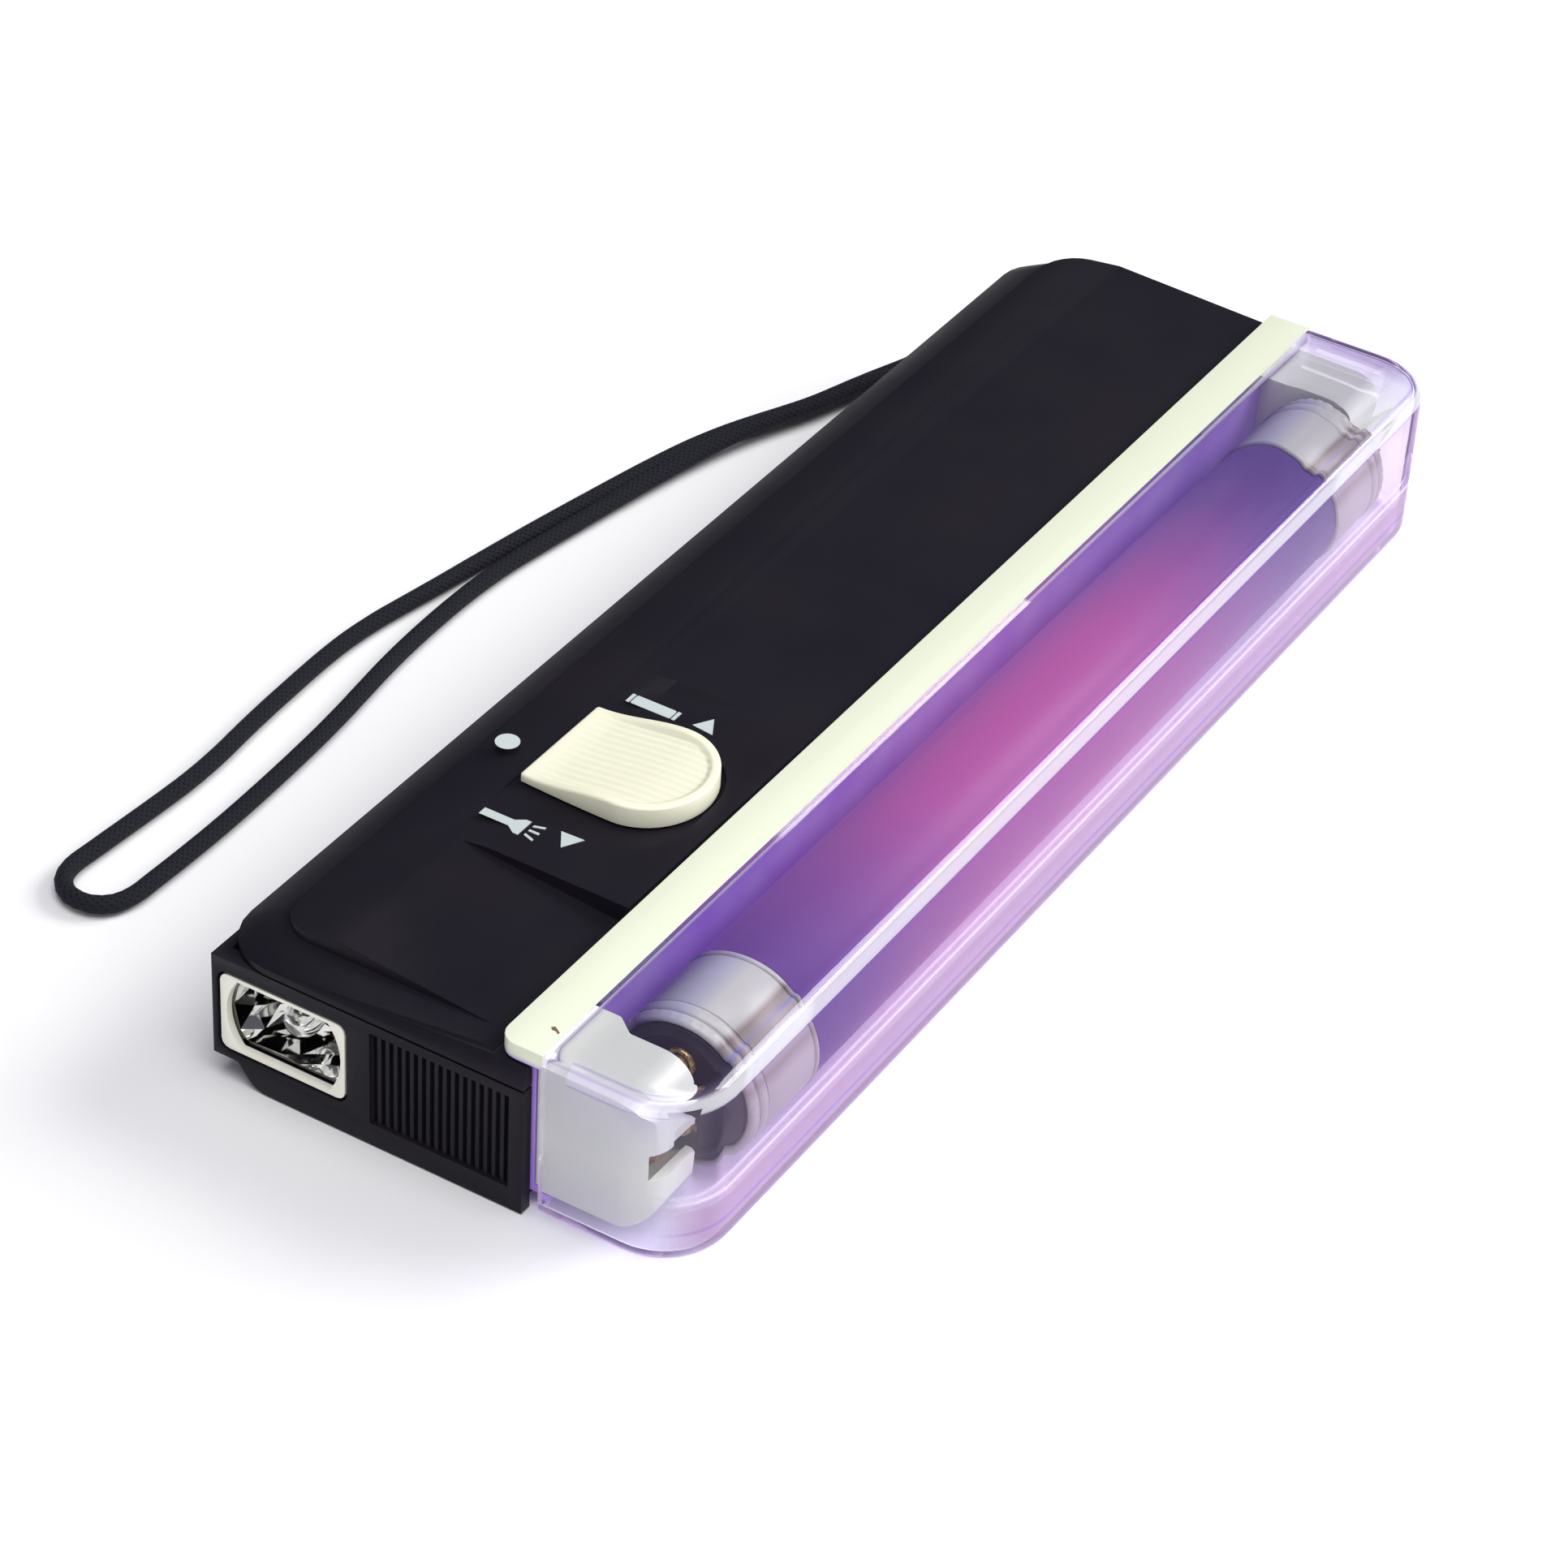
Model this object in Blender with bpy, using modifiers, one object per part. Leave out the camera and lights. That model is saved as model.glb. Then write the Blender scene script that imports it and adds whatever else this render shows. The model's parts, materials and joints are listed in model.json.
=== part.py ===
"""Handheld bill detector: ultraviolet tube under a clear cover, torch at one end, wrist cord.

World frame: +Z up, the object rests on Z = 0. X runs across the body, from the cord side (-X)
to the tube side (+X). Y runs along it, from the torch end (-Y) to the cord end (+Y).
"""
import math

import bmesh
import bpy
from mathutils import Matrix, Vector

MM = 0.001

# ---------------------------------------------------------------- driving dimensions (mm)
HALF_LENGTH = 80.0
HALF_WIDTH = 27.5
GAP = 0.3                    # clearance kept between pieces that touch

SPLIT_Z = 15.0               # seam between the lower and the upper case
OPEN_Z = 20.0                # cutters that open the lower case upwards reach this high
ROOF_Z = 17.0                # underside of the upper case
LEDGE_Z = 18.0               # ledge around the raised deck
DECK_Z = 20.0                # flat switch panel
CASE_RIGHT = 8.9             # end flanges of the black case
CASE_SIDE = 7.9              # black case beside the tray
CASE_FLOOR = 1.8
CAVITY_LEFT = -25.7
CAVITY_RIGHT = 6.2
CAVITY_Y = 78.2
NEAR_RADIUS = 6.5            # plan corners on the cord side
FAR_RADIUS = 5.0

DOOR_Y0 = -30.5              # battery door, from here to the far end
DOOR_Y1 = 79.8
DOOR_X0 = -22.6
DOOR_X1 = 4.6
DOOR_T = 1.9
BAY_Y0 = -31.0               # battery bay
BAY_Y1 = 74.0
BAY_FLOOR = 3.9

STRIP_X0 = 5.2               # top flange of the tray
STRIP_X1 = 10.4
STRIP_Z0 = 18.0
STRIP_Z1 = 19.8
TRAY_BACK_X = 8.2
TRAY_Y = 78.2

TUBE_X = 17.85               # centre line of the tube
TUBE_Y = 1.45                # the tube sits this far towards the far end
TUBE_Z = 10.25
TUBE_R = 7.6
CAP_R = 7.85
CAP_FACE_Y = 68.0            # half the length between the tube's end faces
CAP_LENGTH = 12.0
PIN_R = 1.17
PIN_SPACING = 4.75
PIN_LENGTH = 7.1
TUBE_STEPS = 30              # facets round the tube and its caps

COVER_X0 = 10.75
COVER_Z1 = 20.5
COVER_T = 1.4

SWITCH_OFF_Y = -39.8         # middle of the switch's travel, off
KNOB_TRAVEL = 2.0            # from off to either end
KNOB_Y = SWITCH_OFF_Y + KNOB_TRAVEL      # drawn with the tube switched on
KNOB_LEFT, KNOB_RIGHT = -15.6, 2.3
KNOB_ARC_X = -4.6            # where the straight sides pass into the round end
KNOB_HALF_LEFT, KNOB_HALF_MID = 7.1, 7.5
KNOB_BASE_Z = 19.5
RECESS_Z = 19.2

TORCH_X = -19.1
TORCH_Z = 8.5
TORCH_R = 6.8

CELL_R = 7.25
CELL_LENGTH = 50.5
CELL_Z = 9.45
CELL_XS = (-16.3, -1.3)

CORD_R = 1.05

COLOURS = {
    "black_abs": ((0.020, 0.019, 0.024), 0.38, 0.0),
    "cream_abs": ((0.86, 0.88, 0.74), 0.35, 0.0),
    "clear_cover": ((0.78, 0.76, 0.92), 0.08, 0.0),
    "lamp_glass": ((0.35, 0.16, 0.72), 0.12, 0.0),
    "aluminium": ((0.78, 0.78, 0.80), 0.22, 1.0),
    "phenolic": ((0.06, 0.05, 0.06), 0.5, 0.0),
    "brass": ((0.80, 0.62, 0.28), 0.3, 1.0),
    "chrome": ((0.85, 0.85, 0.84), 0.06, 1.0),
    "bulb_glass": ((0.92, 0.92, 0.90), 0.05, 0.0),
    "steel": ((0.62, 0.62, 0.63), 0.3, 1.0),
    "board": ((0.50, 0.33, 0.14), 0.55, 0.0),
    "ferrite": ((0.10, 0.10, 0.11), 0.6, 0.0),
    "winding": ((0.78, 0.55, 0.12), 0.45, 0.0),
    "component": ((0.05, 0.05, 0.06), 0.4, 0.0),
    "capacitor": ((0.08, 0.12, 0.35), 0.35, 0.0),
    "resistor": ((0.70, 0.58, 0.38), 0.5, 0.0),
    "cell_label": ((0.10, 0.22, 0.45), 0.35, 0.2),
    "wire_red": ((0.65, 0.04, 0.03), 0.4, 0.0),
    "wire_black": ((0.02, 0.02, 0.02), 0.4, 0.0),
    "wire_white": ((0.80, 0.80, 0.78), 0.4, 0.0),
    "braid": ((0.018, 0.018, 0.030), 0.8, 0.0),
}


# ---------------------------------------------------------------- scene and helpers
def clear_scene():
    for obj in list(bpy.data.objects):
        bpy.data.objects.remove(obj, do_unlink=True)


def make_collection(name):
    collection = bpy.data.collections.get(name) or bpy.data.collections.new(name)
    if collection.name not in bpy.context.scene.collection.children:
        bpy.context.scene.collection.children.link(collection)
    return collection


clear_scene()
PARTS = make_collection("bill_detector")
CUTTERS = make_collection("cutters")
MATERIALS = {}


def material(key):
    """One Principled BSDF material per colour key."""
    if key not in MATERIALS:
        colour, roughness, metallic = COLOURS[key]
        mat = bpy.data.materials.new(key)
        mat.use_nodes = True
        shader = mat.node_tree.nodes["Principled BSDF"]
        shader.inputs["Base Color"].default_value = (*colour, 1.0)
        shader.inputs["Roughness"].default_value = roughness
        shader.inputs["Metallic"].default_value = metallic
        mat.diffuse_color = (*colour, 1.0)
        MATERIALS[key] = mat
    return MATERIALS[key]


def add_object(name, data, collection=None):
    obj = bpy.data.objects.new(name, data)
    (collection or PARTS).objects.link(obj)
    return obj


def mesh_from(bm, name):
    """A mesh in metres from a bmesh drawn in millimetres."""
    bmesh.ops.recalc_face_normals(bm, faces=bm.faces)
    bmesh.ops.scale(bm, vec=Vector((MM, MM, MM)), verts=bm.verts)
    mesh = bpy.data.meshes.new(name)
    bm.to_mesh(mesh)
    bm.free()
    return mesh


def box(name, low, high, collection=None):
    """A block between two corners, in millimetres."""
    size = [b - a for a, b in zip(low, high)]
    centre = [(a + b) / 2 for a, b in zip(low, high)]
    bm = bmesh.new()
    bmesh.ops.create_cube(bm, size=1.0)
    bmesh.ops.scale(bm, vec=Vector(size), verts=bm.verts)
    bmesh.ops.translate(bm, vec=Vector(centre), verts=bm.verts)
    return add_object(name, mesh_from(bm, name), collection)


AXIS_TURN = {
    "X": Matrix.Rotation(math.pi / 2, 4, "Y"),
    "Y": Matrix.Rotation(-math.pi / 2, 4, "X"),
    "-Y": Matrix.Rotation(math.pi / 2, 4, "X"),
    "Z": Matrix.Identity(4),
}


def cylinder(name, start, axis, radius, length, segments=24, radius2=None, collection=None):
    """A cylinder or cone from start along +axis, in millimetres."""
    bm = bmesh.new()
    bmesh.ops.create_cone(bm, cap_ends=True, segments=segments, radius1=radius,
                          radius2=radius if radius2 is None else radius2, depth=length)
    bmesh.ops.translate(bm, vec=Vector((0, 0, length / 2)), verts=bm.verts)
    bmesh.ops.transform(bm, matrix=AXIS_TURN[axis], verts=bm.verts)
    bmesh.ops.translate(bm, vec=Vector(start), verts=bm.verts)
    return add_object(name, mesh_from(bm, name), collection)


def arc(cx, cy, rx, ry, start_deg, end_deg, steps):
    """Points on an ellipse arc, both ends included."""
    points = []
    for i in range(steps + 1):
        t = math.radians(start_deg + (end_deg - start_deg) * i / steps)
        points.append((cx + rx * math.cos(t), cy + ry * math.sin(t)))
    return points


def filleted(corners, steps=5):
    """An outline from (x, y, fillet radius) corners; radius 0 leaves the corner sharp."""
    points = []
    count = len(corners)
    for i, (x, y, radius) in enumerate(corners):
        here = Vector((x, y))
        if radius <= 0:
            points.append((x, y))
            continue
        before = Vector(corners[i - 1][:2]) - here
        after = Vector(corners[(i + 1) % count][:2]) - here
        before.normalize()
        after.normalize()
        half = before.angle(after) / 2
        centre = here + (before + after).normalized() * (radius / math.sin(half))
        start = here + before * (radius / math.tan(half)) - centre
        end = here + after * (radius / math.tan(half)) - centre
        a0 = math.atan2(start.y, start.x)
        turn = math.atan2(start.x * end.y - start.y * end.x, start.dot(end))
        for k in range(steps + 1):
            t = a0 + turn * k / steps
            points.append((centre.x + radius * math.cos(t), centre.y + radius * math.sin(t)))
    return points


PLANE_AXES = {
    "XY": ((1, 0, 0), (0, 1, 0), (0, 0, 1)),
    "XZ": ((1, 0, 0), (0, 0, 1), (0, -1, 0)),
    "YZ": ((0, 1, 0), (0, 0, 1), (1, 0, 0)),
}


def prism(name, outlines, plane, low, high, collection=None):
    """Flat outlines (the first outside, the others holes) extruded from low to high."""
    if not isinstance(outlines[0][0], (list, tuple)):
        outlines = [outlines]
    curve = bpy.data.curves.new(name, "CURVE")
    curve.dimensions = "2D"
    curve.fill_mode = "BOTH"
    curve.extrude = abs(high - low) / 2
    for outline in outlines:
        spline = curve.splines.new("POLY")
        spline.points.add(len(outline) - 1)
        for point, (u, v) in zip(spline.points, outline):
            point.co = (u, v, 0.0, 1.0)
        spline.use_cyclic_u = True
    drawn = add_object(name + "_outline", curve, CUTTERS)
    bpy.context.view_layer.update()
    depsgraph = bpy.context.evaluated_depsgraph_get()
    flat = bpy.data.meshes.new_from_object(drawn.evaluated_get(depsgraph))
    bpy.data.objects.remove(drawn, do_unlink=True)

    axis_u, axis_v, axis_w = (Vector(a) for a in PLANE_AXES[plane])
    turn = Matrix((axis_u, axis_v, axis_w)).transposed().to_4x4()
    middle = (low + high) / 2
    offset = Vector([abs(c) * middle for c in axis_w])
    bm = bmesh.new()
    bm.from_mesh(flat)
    bpy.data.meshes.remove(flat)
    bmesh.ops.remove_doubles(bm, verts=bm.verts, dist=1e-4)
    bmesh.ops.transform(bm, matrix=Matrix.Translation(offset) @ turn, verts=bm.verts)
    return add_object(name, mesh_from(bm, name), collection)


def loft(name, sections, collection=None):
    """A solid through closed sections of equally many (x, y, z) points, flat caps on both ends."""
    bm = bmesh.new()
    rings = [[bm.verts.new(p) for p in section] for section in sections]
    count = len(rings[0])
    for lower, upper in zip(rings, rings[1:]):
        for i in range(count):
            j = (i + 1) % count
            bm.faces.new((lower[i], lower[j], upper[j], upper[i]))
    bm.faces.new(list(reversed(rings[0])))
    bm.faces.new(rings[-1])
    return add_object(name, mesh_from(bm, name), collection)


def turned(name, profile, origin, axis, steps=32, collection=None):
    """A profile of (radius, height) points turned about a line through origin along axis.

    The profile runs down the outer side, top to bottom.
    """
    mesh = bpy.data.meshes.new(name)
    verts = [(r * MM, 0.0, h * MM) for r, h in profile]
    closed = profile[0][0] > 0 or profile[-1][0] > 0
    edges = [(i, i + 1) for i in range(len(verts) - 1)]
    if closed:
        edges.append((len(verts) - 1, 0))
    mesh.from_pydata(verts, edges, [])
    obj = add_object(name, mesh, collection)
    screw = obj.modifiers.new("turn", "SCREW")
    screw.steps = steps
    screw.render_steps = steps
    screw.use_merge_vertices = True
    screw.merge_threshold = 1e-6
    screw.use_smooth_shade = True
    obj.matrix_world = Matrix.Translation(Vector(origin) * MM) @ AXIS_TURN[axis]
    return obj


def tube(name, points, radius, collection=None):
    """A round wire or cord along a list of points, in millimetres."""
    curve = bpy.data.curves.new(name, "CURVE")
    curve.dimensions = "3D"
    curve.bevel_depth = radius * MM
    curve.bevel_resolution = 2
    curve.use_fill_caps = True
    spline = curve.splines.new("POLY")
    spline.points.add(len(points) - 1)
    for point, position in zip(spline.points, points):
        point.co = (*(c * MM for c in position), 1.0)
    return add_object(name, curve, collection)


def smooth_path(points, spacing):
    """Points about spacing apart on the Catmull-Rom curve through the given points."""
    rows = [Vector(p) for p in points]
    padded = [2 * rows[0] - rows[1]] + rows + [2 * rows[-1] - rows[-2]]
    path = [rows[0]]
    for p0, p1, p2, p3 in zip(padded, padded[1:], padded[2:], padded[3:]):
        steps = max(1, round((p2 - p1).length / spacing))
        for k in range(1, steps + 1):
            t = k / steps
            path.append(0.5 * (2 * p1 + (p2 - p0) * t + (2 * p0 - 5 * p1 + 4 * p2 - p3) * t ** 2
                               + (3 * p1 - p0 - 3 * p2 + p3) * t ** 3))
    return path


def combine(obj, other, operation="DIFFERENCE"):
    """Cut other from obj, add it, or keep only their overlap."""
    if CUTTERS not in other.users_collection:
        for collection in list(other.users_collection):
            collection.objects.unlink(other)
        CUTTERS.objects.link(other)
    other.hide_render = True
    other.display_type = "WIRE"
    modifier = obj.modifiers.new(operation.lower() + "_" + other.name, "BOOLEAN")
    modifier.operation = operation
    modifier.solver = "EXACT"
    modifier.object = other
    return obj


def cut(obj, *others):
    for other in others:
        combine(obj, other, "DIFFERENCE")
    return obj


def join(obj, *others):
    for other in others:
        combine(obj, other, "UNION")
    return obj


def bevel(obj, width, segments=2, angle=40.0):
    modifier = obj.modifiers.new("edges", "BEVEL")
    modifier.width = width * MM
    modifier.segments = segments
    modifier.limit_method = "ANGLE"
    modifier.angle_limit = math.radians(angle)
    return obj


def finish(obj, key, origin=None, smooth_angle=None):
    """Give a piece its material, its origin and its shading."""
    if obj.type == "MESH" and origin is not None:
        point = Vector(origin) * MM
        obj.data.transform(obj.matrix_world.inverted() @ Matrix.Translation(-point) @ obj.matrix_world)
        obj.matrix_world = Matrix.Translation(point) @ obj.matrix_world
    obj.data.materials.append(material(key))
    if obj.type == "MESH" and smooth_angle:
        obj.data.shade_smooth()
        obj.data.set_sharp_from_angle(angle=math.radians(smooth_angle))
    return obj


# ---------------------------------------------------------------- black case
SIDE_PROFILE = [(-HALF_WIDTH, SPLIT_Z, 0), (-HALF_WIDTH, 6.5, 3.0), (-22.5, 0.0, 3.0),
                (CASE_RIGHT, 0.0, 0), (CASE_RIGHT, SPLIT_Z, 0)]
SCREW_PLACES = ((-20.5, -54.5), (1.7, -45.0), (-20.5, -36.8))
CORD_HOLES = ((76.7, 4.9), (76.7, 8.3))          # (y, z) of the two cord holes
RIB_COUNT = 17
RIB_X0, RIB_X1 = -8.8, 7.3
RIB_Z0, RIB_Z1 = 2.6, 13.9
RIB_DEPTH = 0.9
RIB_STEP_DEPTH = 0.35
LAMP_WIRE_Y, LAMP_WIRE_Z = 72.0, 5.2             # the lamp wires' holes through the right wall
WIRE_HOLE_R = 0.9


def rib_comb():
    """Plan outline of the cutter that leaves the vertical ribs on the end face."""
    face = -HALF_LENGTH
    pitch = (RIB_X1 - RIB_X0) / RIB_COUNT
    points = [(RIB_X1, face - 1.0), (RIB_X1, face + RIB_STEP_DEPTH)]
    for i in reversed(range(RIB_COUNT)):
        left = RIB_X0 + (i + 0.22) * pitch
        right = RIB_X0 + (i + 0.78) * pitch
        points += [(right, face + RIB_STEP_DEPTH), (right, face + RIB_DEPTH),
                   (left, face + RIB_DEPTH), (left, face + RIB_STEP_DEPTH)]
    points += [(RIB_X0, face + RIB_STEP_DEPTH), (RIB_X0, face - 1.0)]
    return points


def far_corner(name, low, high):
    """Plan cutter that rounds the far corner on the cord side."""
    x, y = -HALF_WIDTH, HALF_LENGTH
    r = FAR_RADIUS
    outline = [(x - 2, y + 2), (x - 2, y - r)] + arc(x + r, y - r, r, r, 180, 90, 6) + [(x + r, y + 2)]
    return prism(name, outline, "XY", low, high)


def bay(name, floor_corner, y0, y1):
    """Cutter for a hollow whose left wall leans in to meet the floor at floor_corner."""
    x, floor = floor_corner
    outline = [(CAVITY_LEFT, OPEN_Z), (CAVITY_LEFT, 8.0), (x, floor), (CAVITY_RIGHT, floor),
               (CAVITY_RIGHT, OPEN_Z)]
    return prism(name, outline, "XZ", y0, y1)


def build_bottom_case():
    case = prism("bottom_case", filleted(SIDE_PROFILE, 4), "XZ", -HALF_LENGTH, HALF_LENGTH)
    torch_corner = box("torch_corner", (-HALF_WIDTH, -HALF_LENGTH, 2.7), (-10.4, -58.0, 14.9))
    join(case, torch_corner)
    cut(case, far_corner("case_far_corner", -1, SPLIT_Z + 1))

    battery_bay = bay("battery_bay", (-24.9, BAY_FLOOR), BAY_Y0, BAY_Y1)
    electronics_bay = bay("electronics_bay", (-21.8, CASE_FLOOR), -57.0, BAY_Y0 - 1.2)
    board_bay = box("board_bay", (-9.9, -CAVITY_Y, CASE_FLOOR), (CAVITY_RIGHT, -56.5, OPEN_Z))
    torch_bay = box("torch_bay", (-26.4, -CAVITY_Y, 3.9), (-11.1, -56.5, OPEN_Z))
    cord_bay = prism("cord_bay", filleted(
        [(CAVITY_LEFT, BAY_Y1 + 1.0, 0), (CAVITY_RIGHT, BAY_Y1 + 1.0, 0), (CAVITY_RIGHT, CAVITY_Y, 0),
         (CAVITY_LEFT, CAVITY_Y, FAR_RADIUS - 1.8)], 4), "XY", BAY_FLOOR - 0.9, OPEN_Z)
    cut(case, battery_bay, electronics_bay, board_bay, torch_bay, cord_bay)

    door_way = box("door_way", (DOOR_X0 - GAP, DOOR_Y0 - GAP, -1), (DOOR_X1 + GAP, 82, BAY_FLOOR + 0.1))
    left_groove = box("left_groove", (DOOR_X0 - 1.2, DOOR_Y0 - GAP, 1.7), (DOOR_X0, 82, 3.1))
    right_groove = box("right_groove", (DOOR_X1, DOOR_Y0 - GAP, 0.8), (DOOR_X1 + 1.1, 82, 2.2))
    cut(case, door_way, left_groove, right_groove)

    tray_side = box("tray_side", (CASE_SIDE, -TRAY_Y - 0.4, -1), (CASE_RIGHT + 1, TRAY_Y + 0.4, 20))
    window = prism("torch_window", filleted(
        [(-26.9, 3.5, 1.2), (-11.5, 3.5, 1.2), (-11.5, 13.4, 1.2), (-26.9, 13.4, 1.2)], 3),
        "XZ", -HALF_LENGTH - 1, -HALF_LENGTH + 1.3)
    mouth = cylinder("torch_mouth", (TORCH_X, -HALF_LENGTH - 1, TORCH_Z), "Y", TORCH_R + 0.9, 4, 32)
    mouth_trim = box("torch_mouth_trim", (-26.6, -82, 3.9), (-11.8, -76, 13.1))
    combine(mouth, mouth_trim, "INTERSECT")
    ribs = prism("end_ribs", rib_comb(), "XY", RIB_Z0, RIB_Z1)
    cut(case, tray_side, window, mouth, ribs)

    for i, (x, y) in enumerate(SCREW_PLACES):
        post = cylinder("case_post_%d" % i, (x, y, 1.0), "Z", 2.7, 5.0, 16)
        hole = cylinder("case_hole_%d" % i, (x, y, -1), "Z", 1.35, 8, 16)
        sink = cylinder("case_sink_%d" % i, (x, y, -1), "Z", 2.4, 3.2, 16)
        join(case, post)
        cut(case, hole, sink)
    for i, (y, z) in enumerate(CORD_HOLES):
        cut(case, cylinder("cord_hole_%d" % i, (-30, y, z), "X", CORD_R + 0.35, 6, 16))
    for i, (x, y) in enumerate(((-6.5, -74.0), (3.0, -55.0))):
        join(case, cylinder("board_post_%d" % i, (x, y, 1.0), "Z", 1.5, 2.9, 12))
    for i, y in enumerate((-LAMP_WIRE_Y, LAMP_WIRE_Y)):
        cut(case, cylinder("lamp_wire_hole_%d" % i, (5.0, y, LAMP_WIRE_Z), "X", WIRE_HOLE_R, 4, 12))
    cut(case, cylinder("bay_wire_hole", (5.2, -33, 5.0), "Y", WIRE_HOLE_R, 3, 12))
    for i, x in enumerate(CELL_XS):
        cut(case, box("terminal_notch_%d" % i, (x - 1.5, -33, 12.0), (x + 1.5, -30, 17)))
    finish(case, "black_abs")


def deck_outline(x0, near_left, near_right, far, near_radius, far_radius, z):
    """Plan section of the upper case; its near edge may run at a slant."""
    corners = [(x0, near_left, near_radius), (CASE_RIGHT, near_right, 0), (CASE_RIGHT, far, 0),
               (x0, far, far_radius)]
    return [(x, y, z) for x, y in filleted(corners, 6)]


def roof_outline(x0, near_left, near_right, near_radius, far_radius, z):
    """Plan section of the hollow under the upper case."""
    corners = [(x0, near_left, near_radius), (CAVITY_RIGHT, near_right, 0), (CAVITY_RIGHT, CAVITY_Y, 0),
               (x0, CAVITY_Y, far_radius)]
    return [(x, y, z) for x, y in filleted(corners, 4)]


def slope_cutter(name, x0, z0, x1, z1, y0, y1):
    """Everything above the slanted plane through (x0, z0) and (x1, z1) between y0 and y1."""
    outline = [(x0, z0), (x1, z1), (x1, 26.0), (x0, 26.0)]
    return prism(name, outline, "XZ", y0, y1)


def knob_outline(y, margin=0.0, travel=0.0):
    """Plan of the knob centred on y, grown by margin and stretched by travel both ways."""
    half_left, half_mid = KNOB_HALF_LEFT + margin, KNOB_HALF_MID + margin
    reach = KNOB_RIGHT - KNOB_ARC_X + margin
    upper = arc(KNOB_ARC_X, y + travel, reach, half_mid, 0, 90, 8)
    lower = arc(KNOB_ARC_X, y - travel, reach, half_mid, -90, 0, 8)
    left = KNOB_LEFT - margin
    side = [(left, y + travel + half_left), (left, y - travel - half_left)]
    return upper + side + (lower if travel else lower[:-1])


PANEL_Y0, PANEL_Y1 = -56.3, -22.0
BAND_X, BAND_Z = -22.4, 18.6
CREASE_X, CREASE_Z = -14.6, 19.6
NEAR_FALL_Z = 17.85          # deck height at the tray, torch side of the switch panel
FAR_FALL_Z = 18.7            # deck height at the tray, beyond the switch panel


def build_top_case():
    sections = [
        deck_outline(-HALF_WIDTH, -80, -80, 80, NEAR_RADIUS, FAR_RADIUS, SPLIT_Z + GAP),
        deck_outline(-HALF_WIDTH, -80, -80, 80, NEAR_RADIUS, FAR_RADIUS, 16.0),
        deck_outline(-23.4, -77.0, -79.4, 79.7, 4.6, 4.6, LEDGE_Z),
        deck_outline(-22.8, -76.4, -76.2, 79.4, 4.2, 4.2, LEDGE_Z + 0.02),
        deck_outline(-22.6, -76.2, -76.0, 79.3, 4.2, 4.2, DECK_Z),
    ]
    case = loft("top_case", sections)
    band_rise = (CREASE_Z - BAND_Z) / (CREASE_X - BAND_X)
    panel_x = BAND_X + (DECK_Z + 1 - BAND_Z) / band_rise
    band = slope_cutter("band_slope", BAND_X - 4, BAND_Z - 4 * band_rise, panel_x, DECK_Z + 1, -82, 82)
    near = slope_cutter("near_slope", CREASE_X, CREASE_Z, STRIP_X0 - GAP, NEAR_FALL_Z, -82, PANEL_Y0)
    far = slope_cutter("far_slope", CREASE_X, CREASE_Z, STRIP_X0 - GAP, FAR_FALL_Z, PANEL_Y1, 82)
    rebate = box("strip_rebate", (STRIP_X0 - GAP, -79.6, STRIP_Z0 - GAP), (12, 82, 26))
    cut(case, band, near, far, rebate)

    hollow = loft("roof_hollow", [
        roof_outline(CAVITY_LEFT, -CAVITY_Y, -CAVITY_Y, 4.7, 3.2, SPLIT_Z - 1),
        roof_outline(CAVITY_LEFT, -CAVITY_Y, -CAVITY_Y, 4.7, 3.2, SPLIT_Z + 0.4),
        roof_outline(-22.6, -75.6, -76.6, 3.6, 2.6, ROOF_Z),
    ])
    tray_side = box("top_tray_side", (CASE_SIDE, -TRAY_Y - 0.4, 10), (CASE_RIGHT + 1, TRAY_Y + 0.4, 26))
    recess = prism("knob_recess", knob_outline(SWITCH_OFF_Y, 0.6, KNOB_TRAVEL), "XY", RECESS_Z, 26)
    slot = box("knob_slot", (-10.5, SWITCH_OFF_Y - 3.9, 15), (-5.5, SWITCH_OFF_Y + 3.9, 26))
    cut(case, hollow, tray_side, recess, slot)
    for i, (x, y) in enumerate(SCREW_PLACES):
        join(case, cylinder("roof_boss_%d" % i, (x, y, 6.3), "Z", 2.5, 11.2, 16))
        cut(case, cylinder("boss_hole_%d" % i, (x, y, 5.0), "Z", 1.3, 9.6, 12))
    for i, x in enumerate((-18.0, -3.0)):
        join(case, box("far_hook_%d" % i, (x - 2, 77.0, 12.4), (x + 2, 77.9, 17.4)))
    finish(case, "black_abs")


def build_battery_door():
    """Plate on the underside with a tongue along each side, slid in from the far end."""
    left = DOOR_X0
    outline = [(left + 0.4, 0.0), (DOOR_X1, 0.0), (DOOR_X1, 1.1), (DOOR_X1 + 0.8, 1.1),
               (DOOR_X1 + 0.8, DOOR_T), (left + 1.2, DOOR_T), (left + 1.2, 2.8), (left - 0.9, 2.8),
               (left - 0.9, 2.0), (left, 2.0), (left, 0.25)]
    door = prism("battery_door", outline, "XZ", DOOR_Y0, DOOR_Y1)
    for i in range(6):
        y = 64.0 + 2.0 * i
        cut(door, box("grip_groove_%d" % i, (-16.0, y - 0.5, -1.0), (-2.0, y + 0.5, 0.45)))
    finish(door, "black_abs", origin=(-9.0, DOOR_Y0, 1.0))


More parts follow.
